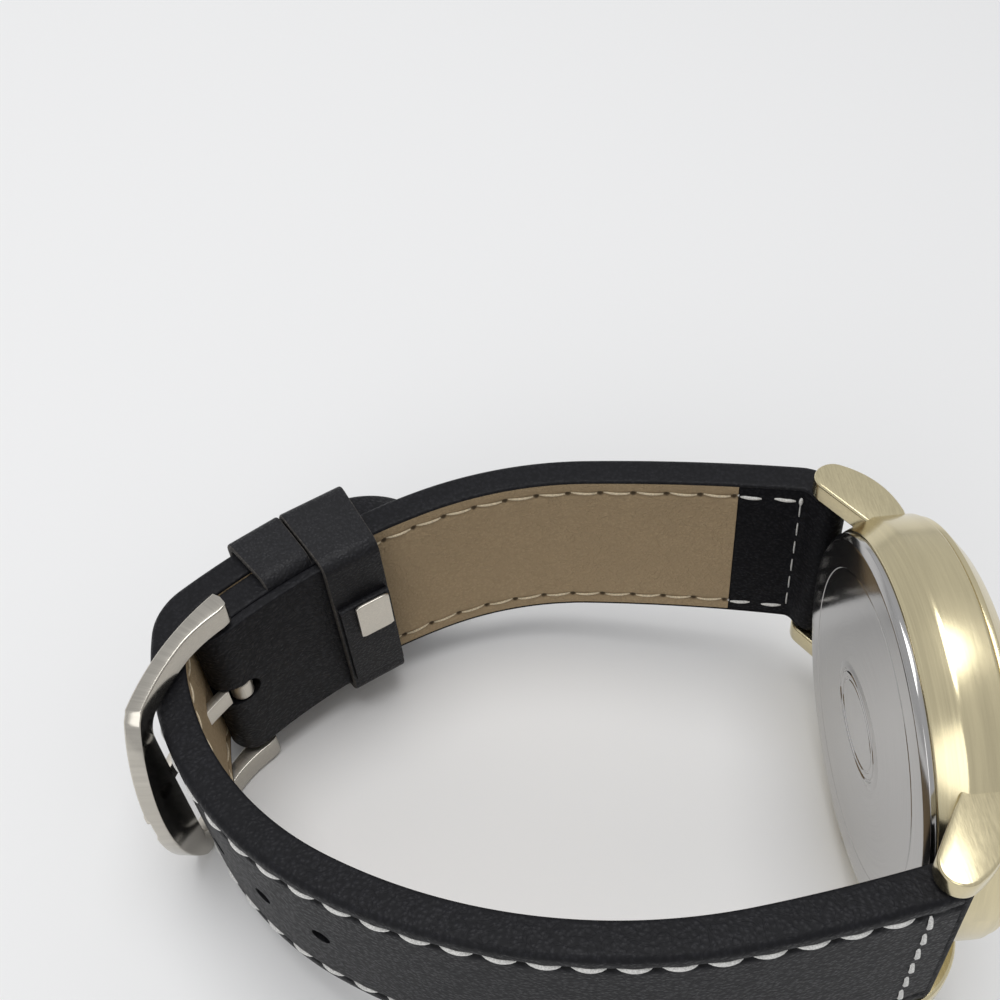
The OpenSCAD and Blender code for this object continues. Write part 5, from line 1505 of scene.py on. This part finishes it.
class WATCH_OT_dial(Build, bpy.types.Operator):
    """Builds the dial, its sloped ring, printed minute marks and faceted hour bars."""

    bl_idname = "watch.dial"
    bl_label = "Dial"

    def execute(self, context):
        profile = [[DIAL_HOLE, DIAL_LOW], *([r, DIAL_TOP] for r in (DIAL_HOLE, 6.0, 12.0, DIAL_R)),
                   [DIAL_R, DIAL_LOW], [DIAL_HOLE, DIAL_LOW]]
        add_piece("dial_plate", [lathe(profile)], ("dial_black",), "dial", sharp=32)
        profile = rounded_profile([[DIAL_R - 1, DIAL_TOP], [DIAL_R, DIAL_TOP], [DIAL_R, CRYSTAL_LOW],
                                   [DIAL_R - 0.35, CRYSTAL_LOW]], 0.08, 3)
        add_piece("dial_flange", [lathe(profile)], ("dial_black",), "dial_ring", sharp=32)
        marks = []
        for k in range(60):
            w, low = (0.14, 15.2) if k % 5 == 0 else (0.06, 15.5)
            mark = spun(np.array([[-w, low], [w, low], [w, MARKS_R], [-w, MARKS_R]]), 6 * k)
            marks.append(solid(head_frame(slab(mark, DIAL_TOP - 0.01, DIAL_TOP + 0.03, 0.01, 2))))
        add_piece("minute_marks", marks, ("print_white",), None)
        bars = []
        w, foot, low, ridge = 0.55, DIAL_TOP, DIAL_TOP + 0.12, 0.25
        # Distance of a bar's rows from the axis, and whether its ridge stands there
        steps = ((11.6, 0), (11.85, 1), (14.35, 1), (14.6, 0))
        for hour in range(12):
            for x in (-0.85, 0.85) if hour == 0 else (0.0,):
                rows = [[[x - w, y, foot], [x - w, y, low], [x, y, low + ridge * f], [x + w, y, low],
                         [x + w, y, foot], [x - w, y, foot]] for y, f in steps]
                bars.append(solid(head_frame(spun(np.array(rows), 30 * hour))))
        add_piece("hour_bars", bars, ("pale_gold",), "hour_markers", sharp=12)
        return {"FINISHED"}


class WATCH_OT_hands(Build, bpy.types.Operator):
    """Builds the three hands, one above another."""

    bl_idname = "watch.hands"
    bl_label = "Hands"

    def execute(self, context):
        hour = [[-0.2, 0.42], [0, 0.7], [HOUR_REACH * 0.45, 0.87], [HOUR_REACH, 0.04]]
        minute = [[-0.2, 0.33], [0, 0.55], [MINUTE_REACH * 0.45, 0.68], [MINUTE_REACH, 0.04]]
        second = [[-4.2, 0.3], [-3.9, 0.32], [0, 0.14], [SECOND_REACH, 0.05]]
        # Name, body, half widths along the blade, thickness, angle, and the ring's radii and height
        for k, (name, body, *hand) in enumerate((
            ("hour_hand", "hour_group", hour, 0.26, 305, (1.3, 0.87, 0.22)),
            ("minute_hand", "minute_group", minute, 0.24, 54, (1.0, 0.52, 0.2)),
            ("second_hand", "seconds_group", second, 0.14, 200, (0.7, 0.22, 0.14)),
        )):
            stations, thick, degrees, ring = hand
            parts = hand_patches(stations, DIAL_TOP + HAND_STEP * (k + 1), thick, degrees, ring)
            add_piece(name + "_blade", parts, ("pale_gold",), name, body, 12)
        return {"FINISHED"}


class WATCH_OT_crown(Build, bpy.types.Operator):
    """Builds the crown: a turned knob whose side is fluted by a rounded wave of grooves."""

    bl_idname = "watch.crown"
    bl_label = "Crown"

    def execute(self, context):
        start, face_x = CASE_R + 0.15, CROWN_REACH
        turn = np.linspace(0, 2 * math.pi, GROOVES * 8 + 1)
        groove = GROOVE_DEPTH * (0.5 + 0.5 * np.cos(GROOVES * turn)) ** 3
        # Distance out, radius, and depth of the grooves
        profile = [(start + 1.4, 0.0, 0), (start + 1.4, 1.5, 0), (start, 1.5, 0), (start, 2.55, 0),
                   (start + 0.12, 2.8, 0.6), (start + 0.3, CROWN_R, 1), (face_x - 0.75, CROWN_R, 1),
                   (face_x - 0.5, 2.86, 0.6), (face_x - 0.25, 2.72, 0), (face_x - 0.08, 2.45, 0),
                   (face_x, 2.2, 0), (face_x, 0.0, 0)]
        x, r, depth = np.array(profile).T[:, :, None]
        radius = r - depth * groove
        points = head_frame(grid(x, radius * np.cos(turn), CROWN_H + radius * np.sin(turn)))
        add_piece("crown_knob", [patch(points, grid(turn / 6.283, x / 100))], ("pale_gold",), "crown",
                  "crown_group", 38)
        return {"FINISHED"}


class WATCH_OT_nodes(Build, bpy.types.Operator):
    """Gives every CAD node that stays its own finish."""

    bl_idname = "watch.nodes"
    bl_label = "CAD finishes"

    def execute(self, context):
        for item, nodes in NODE_FINISHES.items():
            for node in nodes.split():
                mesh = frame["nodes"][node].data
                mesh.materials.clear()
                mesh.materials.append(FINISHES[item])
        return {"FINISHED"}


class WATCH_OT_stage(Build, bpy.types.Operator):
    """Sets a pale floor, soft lamps, the camera, and a world that camera and mirror rays see brighter."""

    bl_idname = "watch.stage"
    bl_label = "Stage"

    def execute(self, context):
        scene = context.scene
        scene.view_settings.view_transform = "Standard"
        turn = np.linspace(0, 2 * math.pi, 65)[:-1]
        floor_r = 3.0
        mesh = bpy.data.meshes.new("floor")
        ring = grid(floor_r * np.cos(turn), floor_r * np.sin(turn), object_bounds()[0][2])
        mesh.from_pydata(ring, [], [list(range(64))])
        tree, shader = new_material("floor_paper", Roughness=0.75, Specular_IOR_Level=0.25)
        cloud = noise(tree, value_of(tree, "ShaderNodeTexCoord", output="Object"), 6.0, 2.0)
        tone = tuple(scene.watch_colours.floor)
        put(tree, shader.inputs["Base Color"], mix_colour(tree, cloud, scaled(0.985, tone), tone))
        mesh.materials.append(FINISHES["floor_paper"])
        floor = bpy.data.objects.new("floor", mesh)
        scene.collection.objects.link(floor)
        floor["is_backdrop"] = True
        studio = bpy.data.worlds.new("studio")
        studio.use_nodes = True
        tree = studio.node_tree
        back = tree.nodes["Background"]
        rays = add_node(tree, "ShaderNodeLightPath").outputs
        mirror = math_of(tree, "MAXIMUM", rays["Is Glossy Ray"], rays["Is Transmission Ray"])
        seen = math_of(tree, "MAXIMUM", rays["Is Camera Ray"], mirror)
        put(tree, back.inputs["Strength"], seen.math("MULTIPLY_ADD", 0.22, 0.40))
        put(tree, back.inputs["Color"], (0.97, 0.98, 1.0))
        scene.world = studio
        add_lamp("key", (-0.10, 0.10, 0.75), (0.0, 0.0, 0.0), 0.55, 3.2)
        add_lamp("front", (-0.35, -0.55, 0.45), (0.0, 0.0, 0.02), 0.5, 0.9)
        set_camera()
        return {"FINISHED"}


OPERATORS = (
    WATCH_OT_finishes, WATCH_OT_short_strap, WATCH_OT_long_strap, WATCH_OT_tabs, WATCH_OT_fold,
    WATCH_OT_stitching, WATCH_OT_keepers, WATCH_OT_clip, WATCH_OT_buckle, WATCH_OT_tongue, WATCH_OT_case,
    WATCH_OT_back, WATCH_OT_bezel, WATCH_OT_dial, WATCH_OT_hands, WATCH_OT_crown, WATCH_OT_nodes,
    WATCH_OT_stage,
)


class WATCH_PT_pieces(bpy.types.Panel):
    """Lists the settings and the pieces."""

    bl_label = "Watch"
    bl_idname = "WATCH_PT_pieces"
    bl_space_type = "VIEW_3D"
    bl_region_type = "UI"
    bl_category = "Watch"

    def draw(self, context):
        for group in (context.scene.watch_sizes, context.scene.watch_colours):
            for name in group.bl_rna.properties.keys():
                if name not in ("rna_type", "name"):
                    self.layout.prop(group, name)
        for item in OPERATORS:
            self.layout.operator(item.bl_idname)


CLASSES = (WatchSizes, WatchColours, *OPERATORS, WATCH_PT_pieces)


def register():
    """Adds the classes and the settings to Blender."""
    for item in CLASSES:
        bpy.utils.register_class(item)
    bpy.types.Scene.watch_sizes = PointerProperty(type=WatchSizes)
    bpy.types.Scene.watch_colours = PointerProperty(type=WatchColours)


def unregister():
    """Takes them away again."""
    del bpy.types.Scene.watch_colours
    del bpy.types.Scene.watch_sizes
    for item in reversed(CLASSES):
        bpy.utils.unregister_class(item)


def main():
    register()
    for item in OPERATORS:
        group, name = item.bl_idname.split(".")
        getattr(getattr(bpy.ops, group), name)()


if __name__ == "__main__":
    main()
